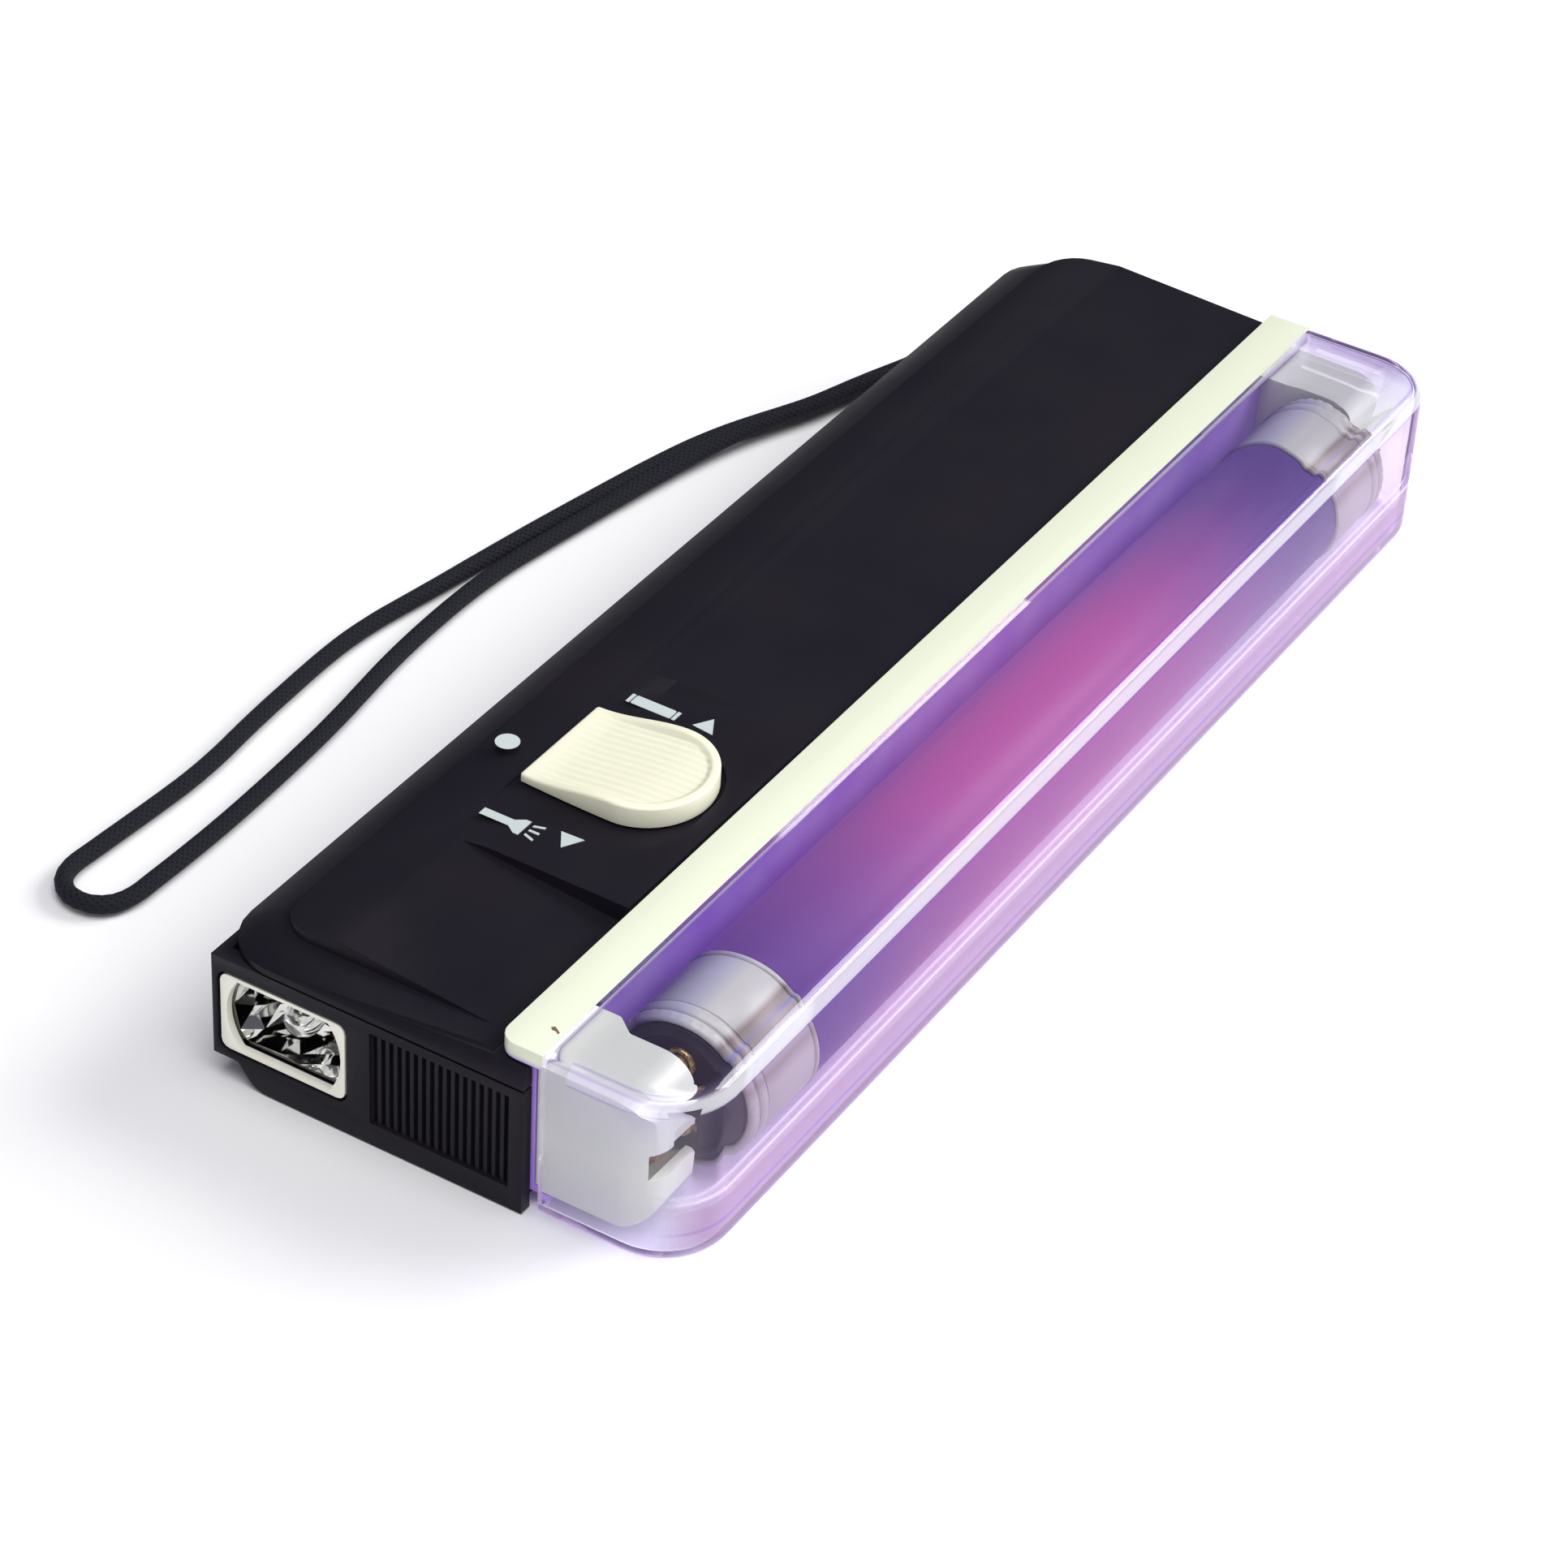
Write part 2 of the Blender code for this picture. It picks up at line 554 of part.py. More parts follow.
# ---------------------------------------------------------------- reflector tray and lamp holders
def build_reflector_tray():
    strip_end = -79.2
    tray = prism("reflector_tray", filleted(
        [(STRIP_X0, strip_end, 2.0), (STRIP_X1, strip_end, 0), (STRIP_X1, 79.9, 0), (STRIP_X0, 79.9, 0)], 5),
        "XY", STRIP_Z0, STRIP_Z1)
    channel = prism("tray_channel", filleted(
        [(TRAY_BACK_X, 19.0, 0), (TRAY_BACK_X, 1.7, 0), (11.4, 1.7, 0), (11.4, 2.6, 0), (9.1, 2.6, 0),
         (9.1, 19.0, 0)]), "XZ", -TRAY_Y, TRAY_Y)
    join(tray, channel)
    for i, y in enumerate((-LAMP_WIRE_Y, LAMP_WIRE_Y)):
        cut(tray, cylinder("tray_wire_hole_%d" % i, (7.5, y, LAMP_WIRE_Z), "X", WIRE_HOLE_R, 3, 12))
    finish(tray, "cream_abs")


HOLDER_Y0, HOLDER_Y1 = 70.5, 78.3
HOLDER_RIGHT = 22.2
HOLDER_FOOT_Y = {"near": 68.9, "far": 70.15}    # the part along the tray reaches closer to the cap


def build_lamp_holder(label, side):
    """Moulded block with a pin socket, entered through a slot from the right."""
    name = "lamp_holder_" + label
    foot = HOLDER_FOOT_Y[label]
    low, high = sorted((side * foot, side * HOLDER_Y1))
    profile = [(9.4, 2.9, 0), (HOLDER_RIGHT, 2.9, 3.4), (HOLDER_RIGHT, 17.7, 4.0), (9.4, 17.7, 0)]
    block = prism(name, filleted(profile, 6), "XZ", low, high)
    plan = prism(name + "_plan", filleted(
        [(8.0, side * foot, 0), (12.4, side * foot, 0.6), (14.4, side * HOLDER_Y0, 0.8),
         (HOLDER_RIGHT, side * HOLDER_Y0, 0.5), (HOLDER_RIGHT, side * HOLDER_Y1, 3.6),
         (8.0, side * HOLDER_Y1, 0)], 5), "XY", 0, 20)
    combine(block, plan, "INTERSECT")
    socket_low, socket_high = sorted((side * (HOLDER_Y0 - 1), side * 77.1))
    socket = cylinder(name + "_socket", (TUBE_X, socket_low, TUBE_Z), "Y", 3.7, socket_high - socket_low, 24)
    entry = box(name + "_entry", (TUBE_X, socket_low, TUBE_Z - 1.6), (27, socket_high, TUBE_Z + 1.6))
    step_low, step_high = sorted((side * (HOLDER_Y0 - 1), side * (HOLDER_Y0 + 4)))
    step = box(name + "_step", (HOLDER_RIGHT - 0.35, step_low, TUBE_Z - 1.2), (27, step_high, TUBE_Z + 3.4))
    pocket_low, pocket_high = sorted((side * (HOLDER_Y0 - 1), side * (HOLDER_Y1 - 0.5)))
    upper = box(name + "_upper_pocket", (TUBE_X - 1.3, pocket_low, TUBE_Z + 3.5),
                (TUBE_X + 1.3, pocket_high, TUBE_Z + 5.0))
    lower = box(name + "_lower_pocket", (TUBE_X - 1.3, pocket_low, TUBE_Z - 5.0),
                (TUBE_X + 1.3, pocket_high, TUBE_Z - 3.5))
    cut(block, socket, entry, step, upper, lower)
    finish(block, "cream_abs")
    for height, z in (("upper", TUBE_Z + 4.3), ("lower", TUBE_Z - 4.3)):
        y0, y1 = sorted((side * (HOLDER_Y0 + 0.4), side * (HOLDER_Y1 - 0.9)))
        strip = box("lamp_contact_%s_%s" % (label, height),
                    (TUBE_X - 0.9, y0, z - 0.22), (TUBE_X + 0.9, y1, z + 0.22))
        finish(strip, "brass")


# ---------------------------------------------------------------- ultraviolet tube
def build_tube():
    neck = 7.2
    shoulder = CAP_FACE_Y - CAP_LENGTH - 0.4
    end = CAP_FACE_Y - 2.0
    half = [(0, end), (neck - 1.2, end), (neck, end - 1.2), (neck, shoulder + 0.35), (TUBE_R, shoulder)]
    profile = half + [(r, -h) for r, h in reversed(half)]
    glass = turned("tube_glass", profile, (TUBE_X, TUBE_Y, TUBE_Z), "Y", TUBE_STEPS)
    finish(glass, "lamp_glass")
    for label, side in (("near", -1), ("far", 1)):
        build_tube_end(label, side)


def build_tube_end(label, side):
    """Aluminium cap with a rolled bead, dark disc and two pins; heights run outwards."""
    inner = CAP_R - 0.35
    length = CAP_LENGTH
    cap_profile = [(CAP_R - 0.1, length - 3.3), (CAP_R - 0.1, 0.0), (inner, 0.0), (inner, length - 0.9),
                   (7.2, length - 0.5), (7.2, length), (CAP_R - 0.3, length - 0.2),
                   (CAP_R, length - 0.8), (CAP_R, length - 1.9), (CAP_R - 0.35, length - 2.6)]
    turn = "Y" if side > 0 else "-Y"
    start = TUBE_Y + side * (CAP_FACE_Y - CAP_LENGTH - 0.05)
    cap = turned("tube_cap_" + label, cap_profile, (TUBE_X, start, TUBE_Z), turn, TUBE_STEPS)
    finish(cap, "aluminium")
    disc_profile = [(0, 2.0), (6.5, 2.0), (6.95, 1.6), (6.95, 0), (0, 0)]
    disc_y = TUBE_Y + side * (CAP_FACE_Y - 1.6)
    disc = turned("tube_disc_" + label, disc_profile, (TUBE_X, disc_y, TUBE_Z), turn, 20)
    for dz in (-PIN_SPACING / 2, PIN_SPACING / 2):
        name = "tube_disc_%s_hole_%s" % (label, "low" if dz < 0 else "high")
        start_y = TUBE_Y + min(side * (CAP_FACE_Y - 2.5), side * (CAP_FACE_Y + 1.5))
        cut(disc, cylinder(name, (TUBE_X, start_y, TUBE_Z + dz), "Y", PIN_R + 0.3, 4.0, 14))
        pin_name = "tube_pin_%s_%s" % (label, "low" if dz < 0 else "high")
        near_y, far_y = sorted(TUBE_Y + side * y for y in (CAP_FACE_Y - 1.5, CAP_FACE_Y + PIN_LENGTH))
        pin = cylinder(pin_name, (TUBE_X, near_y, TUBE_Z + dz), "Y", PIN_R, far_y - near_y, 14)
        bevel(pin, 0.3, 1)
        finish(pin, "brass", origin=(TUBE_X, near_y, TUBE_Z), smooth_angle=50)
    finish(disc, "phenolic")


def build_tube_cover():
    """Clear C-shaped cover, open towards the body."""
    def plan(inset, x0):
        half = HALF_LENGTH - inset
        x1 = HALF_WIDTH - inset
        r = 7.5 - inset
        return filleted([(x0, -half, 0), (x1, -half, r), (x1, half, r), (x0, half, 0)], 7)

    cover = prism("tube_cover", plan(0.0, 4.0), "XY", 0.0, COVER_Z1)
    bevel(cover, 1.8, 3, angle=60)
    inner = prism("cover_inner", plan(COVER_T, 2.0), "XY", COVER_T, COVER_Z1 - COVER_T)
    bevel(inner, 1.0, 2, angle=60)
    side = box("cover_side", (0, -82, -2), (COVER_X0, 82, 24))
    cut(cover, inner, side)
    finish(cover, "clear_cover", origin=(COVER_X0, 0, 0), smooth_angle=35)


# ---------------------------------------------------------------- switch
TERMINAL_STEP = 3.7
KNOB_TOP = [(-16.5, 20.35), (-12.6, 20.45), (-10.6, 20.75), (-8.4, 21.3), (-6.2, 21.65), (-2.0, 21.85),
            (3.5, 21.95)]    # (x, z) along the top of the knob, thin end first
DISH_RIM = 0.9               # scale of the dish's plan to the knob's
DISH_SLOPE = math.atan2(1.1, 15.0)


def build_knob():
    outline = knob_outline(KNOB_Y)
    knob = prism("switch_knob", outline, "XY", KNOB_BASE_Z, 23.0)
    above = KNOB_TOP + [(3.5, 26.0), (-16.5, 26.0)]
    cut(knob, prism("knob_top", above, "XZ", KNOB_Y - 12, KNOB_Y + 12))
    dish = prism("knob_dish", knob_dish_profile(), "YZ", -14.6, 2.0)
    pivot = Matrix.Translation(Vector((KNOB_LEFT * MM, 0, 20.0 * MM)))
    dish.data.transform(pivot @ Matrix.Rotation(-DISH_SLOPE, 4, "Y") @ pivot.inverted())
    inside = [(KNOB_ARC_X + (x - KNOB_ARC_X) * DISH_RIM, KNOB_Y + (y - KNOB_Y) * DISH_RIM)
              for x, y in outline]
    combine(dish, prism("knob_dish_limit", inside, "XY", 15, 30), "INTERSECT")
    cut(knob, dish)
    stem = box("knob_stem", (-10.0, KNOB_Y - 1.5, 15.0), (-6.0, KNOB_Y + 1.5, KNOB_BASE_Z + 0.5))
    join(knob, stem)
    finish(knob, "cream_abs", origin=(-8.0, KNOB_Y, KNOB_BASE_Z))


def knob_dish_profile():
    """YZ outline of the finger dish: a shallow arc broken into ridges along X."""
    ridges = 13
    half = 7.4
    middle_z, sag = 19.95, 0.55
    depth = 0.22
    points = []
    for i in range(ridges):
        for k, drop in ((0.0, 0.0), (0.30, depth), (0.70, depth)):
            u = -1 + 2 * (i + k) / ridges
            points.append((KNOB_Y + half * u, middle_z + sag * u * u - drop))
    points.append((KNOB_Y + half, middle_z + sag))
    return points + [(KNOB_Y + half, 26.0), (KNOB_Y - half, 26.0)]


def build_switch():
    build_knob()
    slider = box("switch_slider", (-10.4, KNOB_Y - 2.0, 7.0), (-5.6, KNOB_Y + 2.0, 14.7))
    finish(slider, "component", origin=(-8.0, KNOB_Y, 10.0))
    wiper = box("switch_wiper", (-9.8, KNOB_Y - 1.8, 6.3), (-6.2, KNOB_Y + 1.8, 6.7))
    finish(wiper, "brass", origin=(-8.0, KNOB_Y, 6.5))

    y0, y1 = SWITCH_OFF_Y - 5.4, SWITCH_OFF_Y + 5.4
    housing = box("switch_housing", (-12.0, y0, 5.9), (-4.0, y1, 12.0))
    hollow = box("housing_hollow", (-11.4, y0 + 0.5, 5.0), (-4.6, y1 - 0.5, 11.5))
    opening = box("housing_opening", (-10.8, y0 + 0.8, 11.0), (-5.2, y1 - 0.8, 13.0))
    cut(housing, hollow, opening)
    finish(housing, "steel")
    base = box("switch_base", (-12.0, y0, 4.6), (-4.0, y1, 5.6))
    for i, step in enumerate((-TERMINAL_STEP, 0.0, TERMINAL_STEP)):
        y = SWITCH_OFF_Y + step
        cut(base, box("base_slot_%d" % i, (-8.9, y - 0.6, 4), (-7.1, y + 0.6, 6.5)))
        terminal = box("switch_terminal_%d" % (i + 1), (-8.6, y - 0.25, 2.4), (-7.4, y + 0.25, 6.0))
        finish(terminal, "brass")
    finish(base, "board")


# ---------------------------------------------------------------- torch
def build_torch():
    frame = filleted([(-26.6, 3.8, 1.0), (-11.8, 3.8, 1.0), (-11.8, 13.1, 1.0), (-26.6, 13.1, 1.0)], 3)
    bezel = prism("torch_bezel", frame, "XZ", -HALF_LENGTH + 0.1, -HALF_LENGTH + 1.0)
    mouth = cylinder("bezel_mouth", (TORCH_X, -HALF_LENGTH - 1, TORCH_Z), "Y", TORCH_R, 4, 40)
    trim = box("bezel_mouth_trim", (-27, -82, 4.25), (-11, -76, 12.65))
    combine(mouth, trim, "INTERSECT")
    cut(bezel, mouth)
    finish(bezel, "cream_abs")

    depths = [0.0, 1.5, 3.2, 5.0, 6.8, 8.3]
    outer, inner = [], []
    for depth in depths:
        radius = 2.3 + (TORCH_R - 2.3) * math.sqrt(1 - depth / depths[-1]) if depth < depths[-1] else 2.3
        inner.append((radius, -depth))
        outer.append((radius + 0.5, -depth))
    dish = turned("torch_reflector", outer + list(reversed(inner)), (TORCH_X, -78.6, TORCH_Z), "-Y", 24)
    crop = box("dish_crop", (-30, -84, 4.2), (-5, -60, 12.7))
    combine(dish, crop, "INTERSECT")
    finish(dish, "chrome")

    bulb_profile = [(0, 9.0), (1.0, 8.7), (1.75, 7.8), (1.95, 6.6), (1.6, 4.8), (1.6, 0), (0, 0)]
    glass = turned("torch_bulb_glass", bulb_profile, (TORCH_X, -69.6, TORCH_Z), "-Y", 16)
    finish(glass, "bulb_glass")
    base_profile = [(0, 7.6), (3.4, 7.6), (3.4, 6.6), (4.0, 6.2), (4.0, 1.2), (2.0, 0), (0, 0)]
    base = turned("torch_bulb_base", base_profile, (TORCH_X, -61.6, TORCH_Z), "-Y", 18)
    finish(base, "brass")
    socket = turned("torch_socket", [(5.0, 5.2), (5.0, 0), (4.3, 0), (4.3, 5.2)],
                    (TORCH_X, -62.0, TORCH_Z), "-Y", 20)
    crop_socket = box("socket_crop", (-30, -84, 4.5), (-5, -50, 14.0))
    combine(socket, crop_socket, "INTERSECT")
    finish(socket, "component")
    contact = box("torch_contact", (TORCH_X - 1.5, -61.2, 4.3), (TORCH_X + 1.5, -60.8, 12.0))
    finish(contact, "brass")


# ---------------------------------------------------------------- electronics
def build_electronics():
    board = box("circuit_board", (-9.4, -77.4, 4.2), (4.0, -52.5, 5.8))
    finish(board, "board")
    top = 6.1
    core_outline = [(-7.2, top), (3.7, top), (3.7, 14.6), (-7.2, 14.6)]
    window = [(-5.2, 8.2), (1.7, 8.2), (1.7, 12.6), (-5.2, 12.6)]
    core = prism("transformer_core", [core_outline, window], "XZ", -66.5, -61.5)
    finish(core, "ferrite")
    coil = box("transformer_coil", (-4.8, -68.0, 8.5), (1.3, -60.0, 12.3))
    bevel(coil, 0.9, 3)
    finish(coil, "winding")
    transistor = box("power_transistor", (-8.8, -77.0, top), (-6.3, -69.6, 14.2))
    bevel(transistor, 0.3, 1)
    finish(transistor, "component")
    capacitor = turned("filter_capacitor", [(0, 8.2), (2.7, 8.2), (3.1, 7.8), (3.1, 0), (0, 0)],
                       (0.2, -72.8, top), "Z", 20)
    finish(capacitor, "capacitor")
    resistor_profile = [(0, 6.4), (1.0, 6.4), (1.25, 6.0), (1.25, 5.0), (1.0, 4.6), (1.0, 1.8),
                        (1.25, 1.4), (1.25, 0.4), (1.0, 0), (0, 0)]
    resistor = turned("resistor", resistor_profile, (-7.0, -56.2, top + 1.3), "X", 10)
    finish(resistor, "resistor")


# ---------------------------------------------------------------- batteries
def coil_points(centre, y0, height, turns, r0, r1, direction):
    """A conical coil round an axis along Y; each turn lies inside the one before."""
    steps = 10
    points = []
    for i in range(int(turns * steps) + 1):
        t = i / (turns * steps)
        angle = 2 * math.pi * turns * t
        radius = r0 + (r1 - r0) * t
        points.append((centre[0] + radius * math.cos(angle), y0 + direction * height * t,
                       centre[1] + radius * math.sin(angle)))
    return points


def build_batteries():
    button = 1.1
    half = CELL_LENGTH
    profile = [(0, half), (2.6, half), (2.75, half - 0.15), (2.75, half - button), (6.6, half - button),
               (CELL_R, half - button - 0.6), (CELL_R, 0.6), (6.6, 0), (0, 0)]
    left, right = CELL_XS
    near_start = -30.0
    starts = (("battery_cell_1", left, near_start + half, "-Y"),
              ("battery_cell_2", left, near_start + 2 * half + GAP, "-Y"),
              ("battery_cell_3", right, -28.2, "Y"),
              ("battery_cell_4", right, -28.2 + half + GAP, "Y"))
    for name, x, y, turn in starts:
        finish(turned(name, profile, (x, y, CELL_Z), turn, 22), "cell_label")

    far_plate_y = 73.42
    bridge = box("battery_bridge", (left - 5.0, far_plate_y, CELL_Z - 4.0),
                 (right + 5.0, far_plate_y + 0.35, CELL_Z + 4.5))
    finish(bridge, "steel")
    for name, x in (("battery_terminal_positive", left), ("battery_terminal_negative", right)):
        plate = box(name, (x - 4.5, BAY_Y0 + 0.3, CELL_Z - 4.0), (x + 4.5, BAY_Y0 + 0.65, CELL_Z + 4.0))
        tab = box(name + "_tab", (x - 1.1, BAY_Y0 - 1.8, CELL_Z + 3.2), (x + 1.1, BAY_Y0 + 0.5, CELL_Z + 3.6))
        join(plate, tab)
        finish(plate, "steel")
    wire = 0.25
    for name, x, y, direction in (("battery_spring_far", left, 71.6 + wire, 1),
                                  ("battery_spring_near", right, -28.55 - wire, -1)):
        coil = coil_points((x, CELL_Z), y, 1.0, 2.2, 3.6, 1.6, direction)
        finish(tube(name, coil, wire), "steel")


# ---------------------------------------------------------------- screws and wires
def build_screws():
    profile = [(0, 11.5), (0.6, 11.5), (1.0, 10.6), (1.0, 1.3), (2.1, 1.3), (2.1, 0.2), (1.9, 0), (0, 0)]
    for i, (x, y) in enumerate(SCREW_PLACES):
        screw = turned("case_screw_%d" % (i + 1), profile, (x, y, 0.6), "Z", 14)
        cross_a = box("screw_slot_a_%d" % i, (x - 1.2, y - 0.2, 0.0), (x + 1.2, y + 0.2, 1.2))
        cross_b = box("screw_slot_b_%d" % i, (x - 0.2, y - 1.2, 0.0), (x + 0.2, y + 1.2, 1.2))
        cut(screw, cross_a, cross_b)
        finish(screw, "steel")


WIRE_ROUTES = {
    "wire_battery_positive": ("wire_red", [
        (-16.3, -33.4, 13.4), (-16.3, -35.5, 13.0), (-15.5, -38.0, 9.0), (-13.5, -39.6, 5.0),
        (-11.0, -39.8, 3.4), (-9.4, -39.8, 3.2)]),
    "wire_battery_negative": ("wire_black", [
        (-1.3, -33.4, 13.4), (-1.0, -36.0, 13.0), (-1.4, -40.0, 10.5), (-2.4, -46.0, 8.5), (-2.2, -50.0, 8.0),
        (-1.8, -53.5, 7.4), (-1.6, -54.5, 6.6)]),
    "wire_torch": ("wire_white", [
        (-9.4, -43.5, 3.2), (-12.0, -45.4, 3.4), (-14.0, -50.0, 4.5), (-15.6, -55.0, 6.0),
        (-18.0, -58.5, 7.0), (-19.1, -60.1, 7.4)]),
    "wire_lamp_feed": ("wire_red", [
        (-6.6, -36.1, 3.2), (-4.6, -37.6, 3.3), (-3.9, -42.0, 3.3), (-4.1, -48.0, 3.6), (-4.4, -50.8, 5.4),
        (-4.5, -52.4, 6.6), (-4.6, -54.2, 6.5)]),
    "wire_lamp_near": ("wire_white", [
        (3.2, -68.6, 6.7), (4.5, -69.6, 6.9), (5.2, -71.2, 6.1), (5.8, -71.9, 5.3), (6.8, -72.0, 5.2),
        (9.0, -72.0, 5.2)]),
    "wire_lamp_far": ("wire_white", [
        (3.0, -56.6, 6.7), (4.7, -54.8, 6.9), (5.2, -51.0, 5.6), (5.2, -46.0, 5.0), (5.2, -33.0, 5.0),
        (5.2, -10.0, 5.0), (5.2, 20.0, 5.0), (5.2, 50.0, 5.0), (5.2, 69.5, 5.0), (5.5, 71.4, 5.1),
        (6.2, 72.0, 5.2), (7.4, 72.0, 5.2), (9.0, 72.0, 5.2)]),
}


def build_wires():
    for name, (key, route) in WIRE_ROUTES.items():
        finish(tube(name, smooth_path(route, 7.0), 0.45), key)


# ---------------------------------------------------------------- wrist cord
# Route from the upper hole out to the table, round the loop and back into the lower hole.
CORD_ROUTE = [
    (-24.6, 76.7, 8.3), (-27.5, 76.7, 8.3), (-30.2, 76.4, 7.6), (-33.4, 75, 5), (-36.7, 71.5, 2.2),
    (-40, 65.5, 1.15), (-42.8, 57, 1.1), (-49, 42, 1.1), (-53.5, 21, 1.1), (-57, 0, 1.1),
    (-59, -14, 1.1), (-58.5, -30, 1.1), (-57.5, -44, 1.1), (-58.4, -63.4, 1.1), (-57.6, -65.8, 1.1),
    (-55.6, -67.3, 1.1), (-53, -67.3, 1.1), (-51, -65.8, 1.1), (-50.2, -63.4, 1.1), (-50, -48, 1.1),
    (-51, -30, 1.1), (-53, -12, 1.1), (-53.3, 4, 1.1), (-51.5, 18, 1.2), (-48, 36.5, 1.7),
    (-44.7, 47.7, 2.4), (-41.5, 55.5, 2.5), (-38.9, 63.3, 2.5), (-36.2, 67.8, 2.3), (-33.9, 71.2, 2.1),
    (-31.6, 74.5, 2.8), (-29.4, 76.4, 4.3), (-27.5, 76.7, 4.9), (-24.6, 76.7, 4.9),
]


def build_cord():
    finish(tube("wrist_cord", smooth_path(CORD_ROUTE, 4.4), CORD_R), "braid")
    lumps = [(0, 3.4), (1.0, 3.1), (1.45, 2.0), (1.2, 0.9), (1.45, 0.0), (1.2, -0.9), (1.45, -2.0),
             (1.0, -3.1), (0, -3.4)]
    knot = turned("cord_knot", lumps, (-22.6, 76.7, 6.6), "Z", 12)
    finish(knot, "braid")


def main():
    build_bottom_case()
    build_top_case()
    build_battery_door()
    build_reflector_tray()
    build_lamp_holder("near", -1)
    build_lamp_holder("far", 1)
    build_tube()
    build_tube_cover()
    build_switch()
    build_torch()
    build_electronics()
    build_batteries()
    build_screws()
    build_wires()
    build_cord()


main()
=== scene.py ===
"""Looks of the handheld bill detector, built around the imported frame.

World frame: +Z up, X across the body towards the tube, Y along it away from the torch end.
Mesh helpers take millimetres and turn them into metres once, when a piece is made.
"""
import json
import math

import bmesh
import bpy
from mathutils import Matrix, Vector


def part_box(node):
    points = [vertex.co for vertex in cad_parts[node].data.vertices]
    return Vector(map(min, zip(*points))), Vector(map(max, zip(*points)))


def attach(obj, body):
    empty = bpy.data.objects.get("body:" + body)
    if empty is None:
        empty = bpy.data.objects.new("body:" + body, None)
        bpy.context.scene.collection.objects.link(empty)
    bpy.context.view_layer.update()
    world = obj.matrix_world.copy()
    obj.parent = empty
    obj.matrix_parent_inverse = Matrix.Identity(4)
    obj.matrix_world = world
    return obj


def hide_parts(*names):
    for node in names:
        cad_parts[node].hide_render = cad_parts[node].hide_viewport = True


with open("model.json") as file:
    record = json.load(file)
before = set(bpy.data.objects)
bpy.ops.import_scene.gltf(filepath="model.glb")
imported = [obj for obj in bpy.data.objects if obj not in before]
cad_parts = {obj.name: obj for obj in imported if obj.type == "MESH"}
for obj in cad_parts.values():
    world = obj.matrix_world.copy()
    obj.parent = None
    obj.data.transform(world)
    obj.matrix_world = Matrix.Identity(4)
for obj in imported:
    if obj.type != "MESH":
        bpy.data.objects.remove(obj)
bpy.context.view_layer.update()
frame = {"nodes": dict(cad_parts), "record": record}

MM = 0.001

# sizes that both looks and pieces use, in millimetres
TUBE_X, TUBE_Y, TUBE_Z, TUBE_R = 17.85, 1.45, 10.25, 7.6
COVER_X0, COVER_X1, COVER_HALF_LENGTH, COVER_TOP, COVER_T = 10.75, 27.5, 80.0, 20.5, 1.4
CORD_R = 1.05


# ---------------------------------------------------------------- camera
CAMERA_AZIMUTH = 29.647      # degrees from the torch end towards the tube side
CAMERA_ELEVATION = 36.917
CAMERA_ROLL = 3.456
CAMERA_DISTANCE = 512.18     # mm from the aim point
CAMERA_SHIFT = (-9.4, -1.445)
CAMERA_LENS = 109.16
SENSOR = 36.0


def make_camera():
    azimuth = math.radians(CAMERA_AZIMUTH)
    elevation = math.radians(CAMERA_ELEVATION)
    roll = math.radians(CAMERA_ROLL)
    back = Vector((math.sin(azimuth) * math.cos(elevation), -math.cos(azimuth) * math.cos(elevation),
                   math.sin(elevation)))
    level_right = Vector((math.cos(azimuth), math.sin(azimuth), 0.0))
    level_up = back.cross(level_right)
    right = level_right * math.cos(roll) + level_up * math.sin(roll)
    up = level_up * math.cos(roll) - level_right * math.sin(roll)
    place = back * CAMERA_DISTANCE + right * CAMERA_SHIFT[0] + up * CAMERA_SHIFT[1]
    data = bpy.data.cameras.new("photo_camera")
    data.lens = CAMERA_LENS
    data.sensor_width = SENSOR
    data.clip_start = 0.01
    data.clip_end = 20.0
    camera = bpy.data.objects.new("photo_camera", data)
    turn = Matrix((right, up, back)).transposed().to_4x4()
    camera.matrix_world = Matrix.Translation(place * MM) @ turn
    bpy.context.scene.collection.objects.link(camera)
    bpy.context.scene.camera = camera


make_camera()


